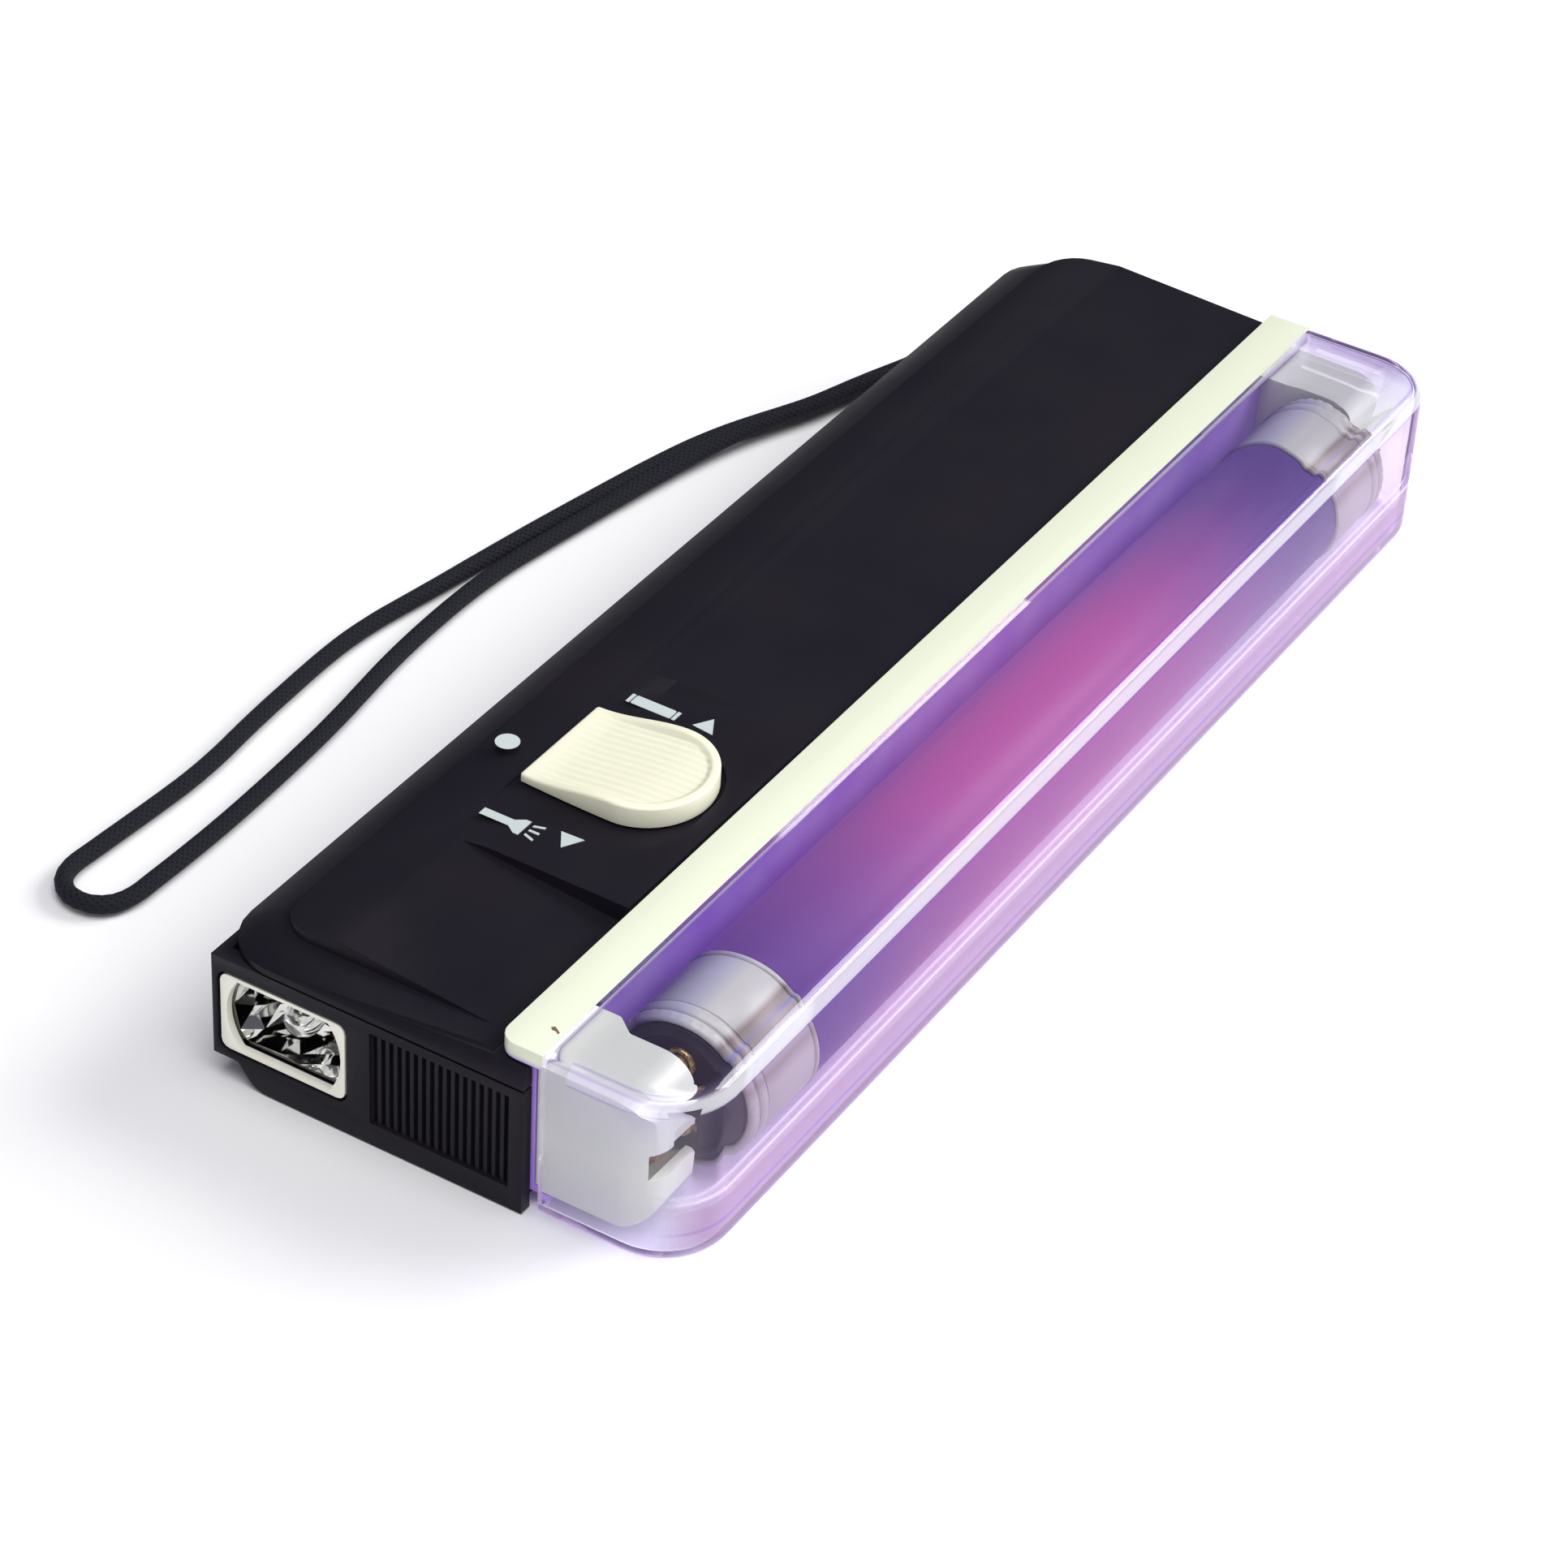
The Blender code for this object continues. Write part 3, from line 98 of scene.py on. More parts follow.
# ---------------------------------------------------------------- materials
class Look:
    """A Principled material whose sockets can be fed by nodes, in the frame's own coordinates."""

    def __init__(self, name, colour, roughness, **sockets):
        self.material = bpy.data.materials.new(name)
        self.material.use_nodes = True
        self.tree = self.material.node_tree
        self.shader = self.tree.nodes["Principled BSDF"]
        self.shader.inputs["Base Color"].default_value = (*colour, 1.0)
        self.shader.inputs["Roughness"].default_value = roughness
        for socket, value in sockets.items():
            self.shader.inputs[socket.replace("_", " ")].default_value = value
        self.place = self.node("TexCoord").outputs["Object"]

    def node(self, kind, inputs=None, **settings):
        """A new node; an input is a constant or another node's output."""
        node = self.tree.nodes.new("ShaderNode" + kind)
        for key, value in settings.items():
            setattr(node, key, value)
        for key, value in (inputs or {}).items():
            if hasattr(value, "is_output"):
                self.tree.links.new(value, node.inputs[key])
            else:
                node.inputs[key].default_value = value
        return node

    def feed(self, socket, output):
        self.tree.links.new(output, self.shader.inputs[socket])

    def noise(self, size, detail=2.0, stretch=(1.0, 1.0, 1.0), roughness=0.5):
        """A 0 to 1 noise whose blobs are about size millimetres across."""
        place = self.place
        if stretch != (1.0, 1.0, 1.0):
            place = self.node("Mapping", {"Vector": place, "Scale": stretch}).outputs["Vector"]
        texture = self.node("TexNoise", {"Vector": place, "Scale": 1.0 / (size * MM), "Detail": detail,
                                         "Roughness": roughness})
        return texture.outputs["Fac"]

    def ramp(self, value, low, high, from_low=0.0, from_high=1.0):
        """Straight line from low to high as value goes over its own range, held at both ends."""
        node = self.node("MapRange", {"Value": value, "From Min": from_low, "From Max": from_high,
                                      "To Min": low, "To Max": high})
        return node.outputs["Result"]

    def pulse(self, value, centre, half_width):
        """One at the centre, falling to nothing half_width away on both sides."""
        return self.ramp(self.distance(value, centre), 1.0, 0.0, 0.0, half_width)

    def maths(self, operation, first, second=0.0):
        return self.node("Math", {0: first, 1: second}, operation=operation).outputs["Value"]

    def product(self, *values):
        """The given values multiplied together."""
        result = values[0]
        for value in values[1:]:
            result = self.maths("MULTIPLY", result, value)
        return result

    def distance(self, value, centre):
        return self.maths("ABSOLUTE", self.maths("SUBTRACT", value, centre))

    def mix(self, factor, first, second):
        """Colour between first and second: sockets 6 and 7 of the node, its factor socket 0."""
        colours = [(*c, 1.0) if isinstance(c, tuple) else c for c in (first, second)]
        node = self.node("Mix", {0: factor, 6: colours[0], 7: colours[1]}, data_type="RGBA")
        return node.outputs[2]

    def bump(self, height, depth):
        """Relief from a 0 to 1 height; depth in millimetres."""
        node = self.node("Bump", {"Height": height, "Strength": 1.0, "Distance": depth * MM})
        self.feed("Normal", node.outputs["Normal"])


def set_stops(ramp, stops):
    """Give a colour ramp node its (position, colour) stops."""
    elements = ramp.color_ramp.elements
    while len(elements) < len(stops):
        elements.new(0.5)
    for element, (position, colour) in zip(elements, stops):
        element.position = position
        element.color = (*colour, 1.0)


def moulded(name, colour, roughness, shade=0.12, grain=0.25, depth=0.006, **sockets):
    """Moulded plastic: slow tone and gloss changes over a fine grain."""
    look = Look(name, colour, roughness, **sockets)
    slow = look.noise(9.0, 3.0)
    fine = look.noise(grain, 2.0)
    darker = tuple(c * (1.0 - shade) for c in colour)
    lighter = tuple(min(1.0, c * (1.0 + shade)) for c in colour)
    look.feed("Base Color", look.mix(look.ramp(slow, 0.0, 1.0, 0.3, 0.7), darker, lighter))
    look.feed("Roughness", look.ramp(look.noise(3.0, 4.0), roughness * 0.8, roughness * 1.25, 0.3, 0.7))
    look.bump(fine, depth)
    return look.material


def metal(name, colour, roughness, stretch=(1.0, 1.0, 1.0), depth=0.004, tarnish=0.15):
    """Metal with fine drawn lines along the stretched-out direction and a little tarnish."""
    look = Look(name, colour, roughness, Metallic=1.0)
    lines = look.noise(0.35, 3.0, stretch)
    spots = look.noise(2.2, 4.0)
    dull = tuple(c * (1.0 - tarnish) for c in colour)
    look.feed("Base Color", look.mix(look.ramp(spots, 0.0, 1.0, 0.35, 0.75), dull, colour))
    look.feed("Roughness", look.ramp(lines, roughness * 0.6, roughness * 1.5, 0.25, 0.75))
    look.bump(lines, depth)
    return look.material


def black_plastic():
    """Satin black case: faint spark texture, slightly polished by handling."""
    look = Look("black_plastic", (0.010, 0.009, 0.014), 0.40, Specular_IOR_Level=0.10)
    slow = look.noise(14.0, 3.0)
    look.feed("Base Color", look.mix(look.ramp(slow, 0.0, 1.0, 0.3, 0.7), (0.0095, 0.0085, 0.0135),
                                     (0.0135, 0.0115, 0.0165)))
    scuffs = look.noise(5.0, 5.0, (1.0, 0.35, 1.0))
    look.feed("Roughness", look.ramp(scuffs, 0.34, 0.46, 0.3, 0.7))
    look.bump(look.noise(0.22, 2.0), 0.004)
    return look.material


def cream_plastic(name="cream_plastic", colour=(0.72, 0.76, 0.60)):
    """Off-white plastic with a soft skin and faint flow marks."""
    look = Look(name, colour, 0.34, Subsurface_Weight=0.1, Subsurface_Scale=0.001)
    look.shader.inputs["Subsurface Radius"].default_value = (1.0, 0.9, 0.6)
    slow = look.noise(12.0, 3.0, (1.0, 0.3, 1.0))
    darker = tuple(c * 0.97 for c in colour)
    lighter = tuple(c * 1.03 for c in colour)
    look.feed("Base Color", look.mix(look.ramp(slow, 0.0, 1.0, 0.3, 0.7), darker, lighter))
    look.feed("Roughness", look.ramp(look.noise(4.0, 4.0), 0.28, 0.42, 0.3, 0.7))
    look.bump(look.noise(0.3, 2.0), 0.003)
    return look.material


def glowing_cream():
    """The tray's channel: the same plastic, violet where the tube shines on it."""
    look = Look("lit_tray", (0.72, 0.76, 0.60), 0.3)
    axes = look.node("SeparateXYZ", {"Vector": look.place})
    under_strip = look.ramp(axes.outputs["Z"], 1.0, 0.0, 17.9 * MM, 18.6 * MM)
    cloud = look.ramp(look.noise(9.0, 2.0), 0.75, 1.0, 0.3, 0.7)
    look.feed("Base Color", look.mix(look.product(under_strip, cloud), (0.72, 0.76, 0.60),
                                     (0.30, 0.17, 0.55)))
    near_middle = look.ramp(look.distance(axes.outputs["Y"], 6 * MM), 1.0, 0.0, 5 * MM, 48 * MM)
    light = look.mix(near_middle, (0.045, 0.012, 0.13), (0.13, 0.03, 0.14))
    look.feed("Emission Color", look.mix(under_strip, (0.0, 0.0, 0.0), light))
    look.shader.inputs["Emission Strength"].default_value = 1.0
    look.bump(look.noise(0.3, 2.0), 0.003)
    return look.material


def let_lamps_through(look, tint):
    """Shadow and diffuse rays pass straight through, so lamps light what is inside."""
    clear = look.node("BsdfTransparent")
    clear.inputs["Color"].default_value = (*tint, 1.0)
    paths = look.node("LightPath")
    passing = look.maths("MAXIMUM", paths.outputs["Is Shadow Ray"], paths.outputs["Is Diffuse Ray"])
    mixer = look.node("MixShader", {"Fac": passing, 1: look.shader.outputs["BSDF"], 2: clear.outputs["BSDF"]})
    output = look.tree.nodes["Material Output"]
    look.tree.links.new(mixer.outputs["Shader"], output.inputs["Surface"])


def clear_plastic():
    """Polished acrylic with hairline scratches; painted light in its colour and glow, lilac where the tube's
    light gathers in its edges.
    """
    look = Look("clear_plastic", (0.95, 0.95, 0.975), 0.03)
    axes = look.node("SeparateXYZ", {"Vector": look.place})
    x, y, z = axes.outputs["X"], axes.outputs["Y"], axes.outputs["Z"]
    normal = look.node("SeparateXYZ", {"Vector": look.node("TexCoord").outputs["Normal"]})
    sideways = look.maths("ABSOLUTE", normal.outputs["X"])
    upright = look.maths("ABSOLUTE", normal.outputs["Z"])
    rounded = look.product(upright, look.maths("SUBTRACT", 1.0, upright), 4.0)
    side = look.ramp(normal.outputs["X"], 0.0, 1.0, 0.35, 0.9)
    past_strip = look.maths("GREATER_THAN", x, 13.5 * MM)

    # the cover's inner skin lies within its inner faces, with a margin
    margin = 0.1
    inner_x = COVER_X1 - COVER_T + margin
    inner_y = COVER_HALF_LENGTH - COVER_T + margin
    inner_z = COVER_TOP / 2 - COVER_T + margin
    inside = look.product(look.maths("LESS_THAN", x, inner_x * MM),
                          look.maths("LESS_THAN", look.maths("ABSOLUTE", y), inner_y * MM),
                          look.maths("LESS_THAN", look.distance(z, COVER_TOP / 2 * MM), inner_z * MM))
    outside = look.maths("SUBTRACT", 1.0, inside)
    # painted light in the rounds: a lilac glow on the inner skin, a pale highlight on the outer round past
    # the strip
    painted_glow_inner_corner = look.product(inside, rounded)
    painted_highlight_outer_corner = look.product(outside, rounded, past_strip)

    # painted light on the long side: a pinkish glow at the foot, two dark lines of painted shade along it and
    # a pale highlight streak above them
    painted_pink_foot = look.product(side, look.ramp(z, 1.0, 0.0, 6.6 * MM, 7.6 * MM))
    painted_dark_lines = look.product(side, look.maths("MAXIMUM", look.pulse(z, 4.1 * MM, 0.35 * MM),
                                            look.pulse(z, 1.6 * MM, 0.3 * MM)))
    painted_pale_streak = look.product(side, look.pulse(z, 7.9 * MM, 0.5 * MM))
    # painted light: a lilac glow on the rim on the table, darker lilac on the top near the far end, a pale
    # highlight on the upper round and dark violet refraction lines beside it
    rim = look.product(look.ramp(z, 1.0, 0.0, 0.9 * MM, 1.3 * MM), look.maths("LESS_THAN", upright, 0.5))
    painted_shade_far_top = look.product(look.ramp(y, 0.0, 1.0, 74 * MM, 77.5 * MM),
                           look.ramp(upright, 0.0, 1.0, 0.5, 0.9))
    painted_highlight_band = look.product(look.ramp(upright, 0.0, 1.0, 0.10, 0.22), look.ramp(upright, 1.0, 0.0, 0.62, 0.80),
                        look.ramp(normal.outputs["X"], 0.0, 1.0, 0.2, 0.6),
                        look.maths("GREATER_THAN", z, 17.0 * MM), outside)
    lines = look.product(look.maths("MAXIMUM", look.pulse(upright, 0.88, 0.05),
                                    look.pulse(upright, 0.10, 0.05)), outside, past_strip)

    # base colour: painted pink-lilac on the long side faces for the tube's light seen through them, then the
    # painted light marks laid over it
    tint = look.mix(look.ramp(sideways, 0.0, 1.0, 0.6, 0.95), (0.95, 0.95, 0.965), (0.92, 0.80, 0.90))
    for mask, colour in ((painted_shade_far_top, (0.62, 0.56, 0.70)), (rim, (0.86, 0.77, 0.88)),
                         (painted_pink_foot, (0.48, 0.34, 0.50)), (painted_dark_lines, (0.36, 0.24, 0.52)),
                         (painted_glow_inner_corner, (0.55, 0.47, 0.80)), (painted_highlight_band, (0.70, 0.69, 0.74)),
                         (lines, (0.42, 0.36, 0.78))):
        tint = look.mix(mask, tint, colour)
    look.feed("Base Color", tint)
    # the painted foot, streak and highlight band let less light through, so their painted colour shows
    painted_opaque_share = look.maths("MAXIMUM", look.maths("MAXIMUM", painted_pink_foot, painted_pale_streak), look.product(painted_highlight_band, 0.9))
    look.feed("Transmission Weight", look.ramp(painted_opaque_share, 1.0, 0.4))
    # a low index on the long side keeps the floor's reflection off the tube behind it
    look.feed("IOR", look.ramp(sideways, 1.46, 1.12, 0.8, 0.98))
    scratches = look.noise(0.5, 3.0, (1.0, 0.06, 1.0))
    look.feed("Roughness", look.ramp(scratches, 0.01, 0.06, 0.5, 0.85))
    look.bump(look.noise(22.0, 1.0), 0.003)

    # painted glow: lilac towards grazing angles and on the outer round, with its own colour on the rim, the
    # far end and the highlight band
    edge = look.node("LayerWeight", {"Blend": 0.35}).outputs["Facing"]
    glow = look.product(look.maths("POWER", edge, 2.6), 0.45)
    glow = look.maths("MAXIMUM", glow, look.product(painted_highlight_outer_corner, 0.4))
    painted_glow_far_end = look.product(look.maths("GREATER_THAN", y, 78.5 * MM), look.ramp(z, 0.0, 1.0, 15 * MM, 19 * MM))
    light = look.mix(glow, (0.005, 0.003, 0.010), (0.26, 0.19, 0.40))
    for mask, colour in ((rim, (0.13, 0.085, 0.145)), (painted_glow_far_end, (0.155, 0.12, 0.20)),
                         (painted_highlight_band, (0.06, 0.06, 0.065))):
        light = look.mix(mask, light, colour)
    look.feed("Emission Color", light)
    look.shader.inputs["Emission Strength"].default_value = 1.0
    let_lamps_through(look, (0.93, 0.91, 0.98))
    return look.material


def bulb_glass():
    look = Look("bulb_glass", (0.98, 0.98, 0.97), 0.02, Transmission_Weight=1.0, IOR=1.5)
    look.feed("Roughness", look.ramp(look.noise(1.5, 3.0), 0.01, 0.05))
    let_lamps_through(look, (0.97, 0.97, 0.96))
    return look.material


# colour of the lit tube from its near end to its far end, then of the pink glow in its middle
TUBE_GLOW = ((0.0, (0.050, 0.010, 0.135)), (0.10, (0.095, 0.030, 0.20)), (0.24, (0.145, 0.055, 0.23)),
             (0.50, (0.180, 0.060, 0.240)), (0.76, (0.10, 0.045, 0.20)), (0.88, (0.022, 0.004, 0.105)),
             (1.0, (0.015, 0.001, 0.075)))
PINK_GLOW = (0.46, 0.066, 0.255)
PINK_MIDDLE, PINK_REACH = 0.47, 0.26     # along the tube, as shares of its length
PINK_ASIDE, PINK_WIDTH = 2.2, 7.0        # mm from the tube's axis towards the cover, and its half width


def lit_tube():
    """Phosphor tube, lit: violet, darker towards the caps, with a pink glow along its upper side."""
    low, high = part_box("tube_glass")
    centre = (low + high) / 2
    look = Look("lit_tube", (0.05, 0.03, 0.10), 0.42, Specular_IOR_Level=0.12)
    axes = look.node("SeparateXYZ", {"Vector": look.place})
    cloud = look.product(look.maths("SUBTRACT", look.noise(16.0, 2.0), 0.5), 0.08)
    along = look.maths("ADD", look.ramp(axes.outputs["Y"], 0.0, 1.0, low.y, high.y), cloud)
    ramp = look.node("ValToRGB", {"Fac": along})
    ramp.color_ramp.interpolation = "B_SPLINE"
    set_stops(ramp, TUBE_GLOW)
    across = look.maths("SUBTRACT", axes.outputs["X"], centre.x + PINK_ASIDE * MM)
    across = look.maths("DIVIDE", across, PINK_WIDTH * MM)
    length = look.maths("DIVIDE", look.maths("SUBTRACT", along, PINK_MIDDLE), PINK_REACH)
    fall = look.maths("ADD", look.maths("POWER", look.maths("ABSOLUTE", across), 2.4),
                      look.maths("POWER", look.maths("ABSOLUTE", length), 3.0))
    pink = look.maths("EXPONENT", look.product(fall, -1.0))
    look.feed("Emission Color", look.mix(pink, ramp.outputs["Color"], PINK_GLOW))
    look.shader.inputs["Emission Strength"].default_value = 0.95
    return look.material


def braid():
    """Dark woven cord: crossing strands drawn along and round it by its UV map."""
    pitch, strands_round = 1.7, 4
    look = Look("braid", (0.014, 0.014, 0.024), 0.8, Sheen_Weight=0.03, Sheen_Roughness=0.5,
                Specular_IOR_Level=0.2)
    look.shader.inputs["Sheen Tint"].default_value = (0.35, 0.35, 0.5, 1.0)
    place = look.node("TexCoord").outputs["UV"]
    axes = look.node("SeparateXYZ", {"Vector": place})
    strands = []
    for turn in (-1.0, 1.0):
        phase = look.maths("ADD", look.product(axes.outputs["X"], 2 * math.pi / pitch),
                           look.product(axes.outputs["Y"], turn * 2 * math.pi * strands_round))
        strands.append(look.maths("ABSOLUTE", look.maths("SINE", phase)))
    weave = look.maths("MAXIMUM", *strands)
    height = look.maths("ADD", weave, look.product(look.noise(0.15, 2.0), 0.3))
    # painted shade: the colour is darker where the weave dips between the strands
    look.feed("Base Color", look.mix(weave, (0.002, 0.002, 0.004), (0.010, 0.010, 0.017)))
    look.bump(height, 0.16)
    return look.material


LOOKS = {
    "black_abs": black_plastic(),
    "cream_abs": cream_plastic(),
    "clear_cover": clear_plastic(),
    "lamp_glass": lit_tube(),
    "aluminium": metal("rolled_aluminium", (0.80, 0.80, 0.82), 0.16, (1.0, 0.08, 1.0), 0.003),
    "phenolic": moulded("phenolic", (0.012, 0.010, 0.015), 0.45, 0.25, 0.3, 0.01, Specular_IOR_Level=0.25),
    "brass": metal("brass", (0.83, 0.62, 0.26), 0.25, (1.0, 0.2, 1.0)),
    "chrome": metal("mirror_metal", (0.90, 0.90, 0.88), 0.04, (1.0, 1.0, 1.0), 0.0006, 0.06),
    "bulb_glass": bulb_glass(),
    "steel": metal("nickel_steel", (0.62, 0.62, 0.63), 0.28, (0.2, 1.0, 1.0)),
    "board": moulded("paper_board", (0.42, 0.26, 0.10), 0.55, 0.2, 0.4, 0.01),
    "ferrite": moulded("ferrite", (0.07, 0.07, 0.08), 0.6, 0.25, 0.2, 0.02),
    "winding": moulded("winding_tape", (0.70, 0.47, 0.07), 0.4, 0.12, 0.5, 0.01),
    "component": moulded("moulded_resin", (0.03, 0.03, 0.035), 0.42, 0.2),
    "capacitor": moulded("capacitor_sleeve", (0.05, 0.09, 0.30), 0.3, 0.1),
    "resistor": moulded("resistor_lacquer", (0.62, 0.48, 0.28), 0.4, 0.1),
    "cell_label": moulded("cell_sleeve", (0.07, 0.16, 0.38), 0.28, 0.08),
    "wire_red": moulded("red_insulation", (0.60, 0.03, 0.02), 0.35, 0.08),
    "wire_black": moulded("black_insulation", (0.015, 0.015, 0.016), 0.35, 0.08),
    "wire_white": moulded("white_insulation", (0.78, 0.78, 0.75), 0.35, 0.06),
    "braid": braid(),
}


def dress_frame():
    """Each CAD node gets the look of its slot in the record."""
    for row in frame["record"]["subparts"]:
        data = frame["nodes"][row["node"]].data
        data.materials.clear()
        data.materials.append(LOOKS[row["material_slot"]])


dress_frame()


# ---------------------------------------------------------------- mesh helpers
def shade(obj, angle):
    """Smooth shading, sharp where faces meet at more than angle degrees."""
    obj.data.shade_smooth()
    obj.data.set_sharp_from_angle(angle=math.radians(angle))


def add_mesh(name, bm):
    """An object from a bmesh drawn in millimetres."""
    bmesh.ops.recalc_face_normals(bm, faces=bm.faces)
    bmesh.ops.scale(bm, vec=(MM, MM, MM), verts=bm.verts)
    mesh = bpy.data.meshes.new(name)
    bm.to_mesh(mesh)
    bm.free()
    obj = bpy.data.objects.new(name, mesh)
    bpy.context.scene.collection.objects.link(obj)
    return obj


def dress(obj, slot, body, replaces=(), angle=35.0, look=None):
    """Material, shading, body and the CAD nodes that this piece stands for."""
    obj.data.materials.clear()
    obj.data.materials.append(look or LOOKS[slot])
    if angle is not None:
        shade(obj, angle)
    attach(obj, body)
    if replaces:
        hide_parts(*replaces)
    return obj


def settle(obj):
    """Apply every modifier."""
    depsgraph = bpy.context.evaluated_depsgraph_get()
    mesh = bpy.data.meshes.new_from_object(obj.evaluated_get(depsgraph))
    obj.modifiers.clear()
    obj.data = mesh


def carve(obj, *others, operation="DIFFERENCE"):
    """Cut the others from obj, add them, or keep only the overlap; the others go away."""
    for other in others:
        modifier = obj.modifiers.new("carve", "BOOLEAN")
        modifier.operation = operation
        modifier.solver = "EXACT"
        modifier.object = other
        settle(obj)
        bpy.data.objects.remove(other, do_unlink=True)
    return obj


def round_edges(obj, width, segments=3, angle=35.0):
    """Small rounds on every edge sharper than angle."""
    modifier = obj.modifiers.new("rounds", "BEVEL")
    modifier.width = width * MM
    modifier.segments = segments
    modifier.limit_method = "ANGLE"
    modifier.angle_limit = math.radians(angle)
    modifier.use_clamp_overlap = True
    modifier.harden_normals = True
    obj.data.shade_smooth()
    return obj


def arc(cx, cy, rx, ry, start, end, steps):
    """Points on an ellipse arc between two angles in degrees."""
    return [(cx + rx * math.cos(math.radians(start + (end - start) * i / steps)),
             cy + ry * math.sin(math.radians(start + (end - start) * i / steps))) for i in range(steps + 1)]


def filleted(corners, steps=8):
    """An outline from (x, y, fillet radius) corners; radius 0 leaves the corner sharp."""
    points = []
    for i, (x, y, radius) in enumerate(corners):
        here = Vector((x, y))
        if radius <= 0:
            points.append((x, y))
            continue
        before = (Vector(corners[i - 1][:2]) - here).normalized()
        after = (Vector(corners[(i + 1) % len(corners)][:2]) - here).normalized()
        half = before.angle(after) / 2
        centre = here + (before + after).normalized() * (radius / math.sin(half))
        start = here + before * (radius / math.tan(half)) - centre
        end = here + after * (radius / math.tan(half)) - centre
        turn = math.atan2(start.x * end.y - start.y * end.x, start.dot(end))
        first = math.atan2(start.y, start.x)
        for k in range(steps + 1):
            t = first + turn * k / steps
            points.append((centre.x + radius * math.cos(t), centre.y + radius * math.sin(t)))
    return points


def prism(name, outline, plane, low, high):
    """A closed outline extruded from low to high: plane XY along Z, XZ along Y, YZ along X."""
    place = {"XY": lambda u, v, w: (u, v, w), "XZ": lambda u, v, w: (u, w, v),
             "YZ": lambda u, v, w: (w, u, v)}
    bm = bmesh.new()
    rings = [[bm.verts.new(place[plane](u, v, w)) for u, v in outline] for w in (low, high)]
    for i in range(len(outline)):
        j = (i + 1) % len(outline)
        bm.faces.new((rings[0][i], rings[0][j], rings[1][j], rings[1][i]))
    for ring in rings:
        bm.faces.new(ring)
    return add_mesh(name, bm)


def block(name, low, high):
    (x0, y0, z0), (x1, y1, z1) = low, high
    return prism(name, [(x0, y0), (x1, y0), (x1, y1), (x0, y1)], "XY", z0, z1)


def turned(name, profile, origin, direction, steps=64):
    """A (radius, height) profile turned about the line through origin along +Y, -Y or +Z.

    Points on the axis close the piece; a profile that stays off the axis closes on itself.
    """
    bm = bmesh.new()
    rings = []
    for radius, height in profile:
        if radius < 1e-6:
            rings.append([bm.verts.new((0.0, 0.0, height))])
        else:
            rings.append([bm.verts.new((radius * math.cos(2 * math.pi * k / steps),
                                        radius * math.sin(2 * math.pi * k / steps), height))
                          for k in range(steps)])
    closed = len(rings[0]) > 1 and len(rings[-1]) > 1
    pairs = list(zip(rings, rings[1:])) + ([(rings[-1], rings[0])] if closed else [])
    for first, second in pairs:
        for k in range(steps):
            j = (k + 1) % steps
            corners = [first[k % len(first)], first[j % len(first)],
                       second[j % len(second)], second[k % len(second)]]
            bm.faces.new(list(dict.fromkeys(corners)))
    turns = {"+Z": 0.0, "+Y": -math.pi / 2, "-Y": math.pi / 2}
    bmesh.ops.transform(bm, matrix=Matrix.Translation(origin) @ Matrix.Rotation(turns[direction], 4, "X"),
                        verts=bm.verts)
    return add_mesh(name, bm)


def merged(name, objs):
    """One object from several; their meshes stay as they are."""
    bm = bmesh.new()
    for obj in objs:
        bm.from_mesh(obj.data)
        bpy.data.objects.remove(obj, do_unlink=True)
    bmesh.ops.scale(bm, vec=(1 / MM, 1 / MM, 1 / MM), verts=bm.verts)
    return add_mesh(name, bm)


def smooth_path(points, spacing):
    """Points about spacing apart on the Catmull-Rom curve through the given points."""
    rows = [Vector(p) for p in points]
    padded = [2 * rows[0] - rows[1]] + rows + [2 * rows[-1] - rows[-2]]
    path = [rows[0]]
    for p0, p1, p2, p3 in zip(padded, padded[1:], padded[2:], padded[3:]):
        steps = max(1, round((p2 - p1).length / spacing))
        for k in range(1, steps + 1):
            t = k / steps
            path.append(0.5 * (2 * p1 + (p2 - p0) * t + (2 * p0 - 5 * p1 + 4 * p2 - p3) * t ** 2
                               + (3 * p1 - p0 - 3 * p2 + p3) * t ** 3))
    return path


# ---------------------------------------------------------------- wrist cord
BRAID_INSET = 0.053          # keeps the braid inside the CAD cord's own box
CORD_ROUTE = [
    (-24.6, 76.7, 8.3), (-27.5, 76.7, 8.3), (-30.2, 76.4, 7.6), (-33.4, 75, 5), (-36.7, 71.5, 2.2),
    (-40, 65.5, 1.15), (-42.8, 57, 1.1), (-49, 42, 1.1), (-53.5, 21, 1.1), (-57, 0, 1.1),
    (-59, -14, 1.1), (-58.5, -30, 1.1), (-57.5, -44, 1.1), (-58.4, -63.4, 1.1), (-57.6, -65.8, 1.1),
    (-55.6, -67.3, 1.1), (-53, -67.3, 1.1), (-51, -65.8, 1.1), (-50.2, -63.4, 1.1), (-50, -48, 1.1),
    (-51, -30, 1.1), (-53, -12, 1.1), (-53.3, 4, 1.1), (-51.5, 18, 1.2), (-48, 36.5, 1.7),
    (-44.7, 47.7, 2.4), (-41.5, 55.5, 2.5), (-38.9, 63.3, 2.5), (-36.2, 67.8, 2.3), (-33.9, 71.2, 2.1),
    (-31.6, 74.5, 2.8), (-29.4, 76.4, 4.3), (-27.5, 76.7, 4.9), (-24.6, 76.7, 4.9),
]


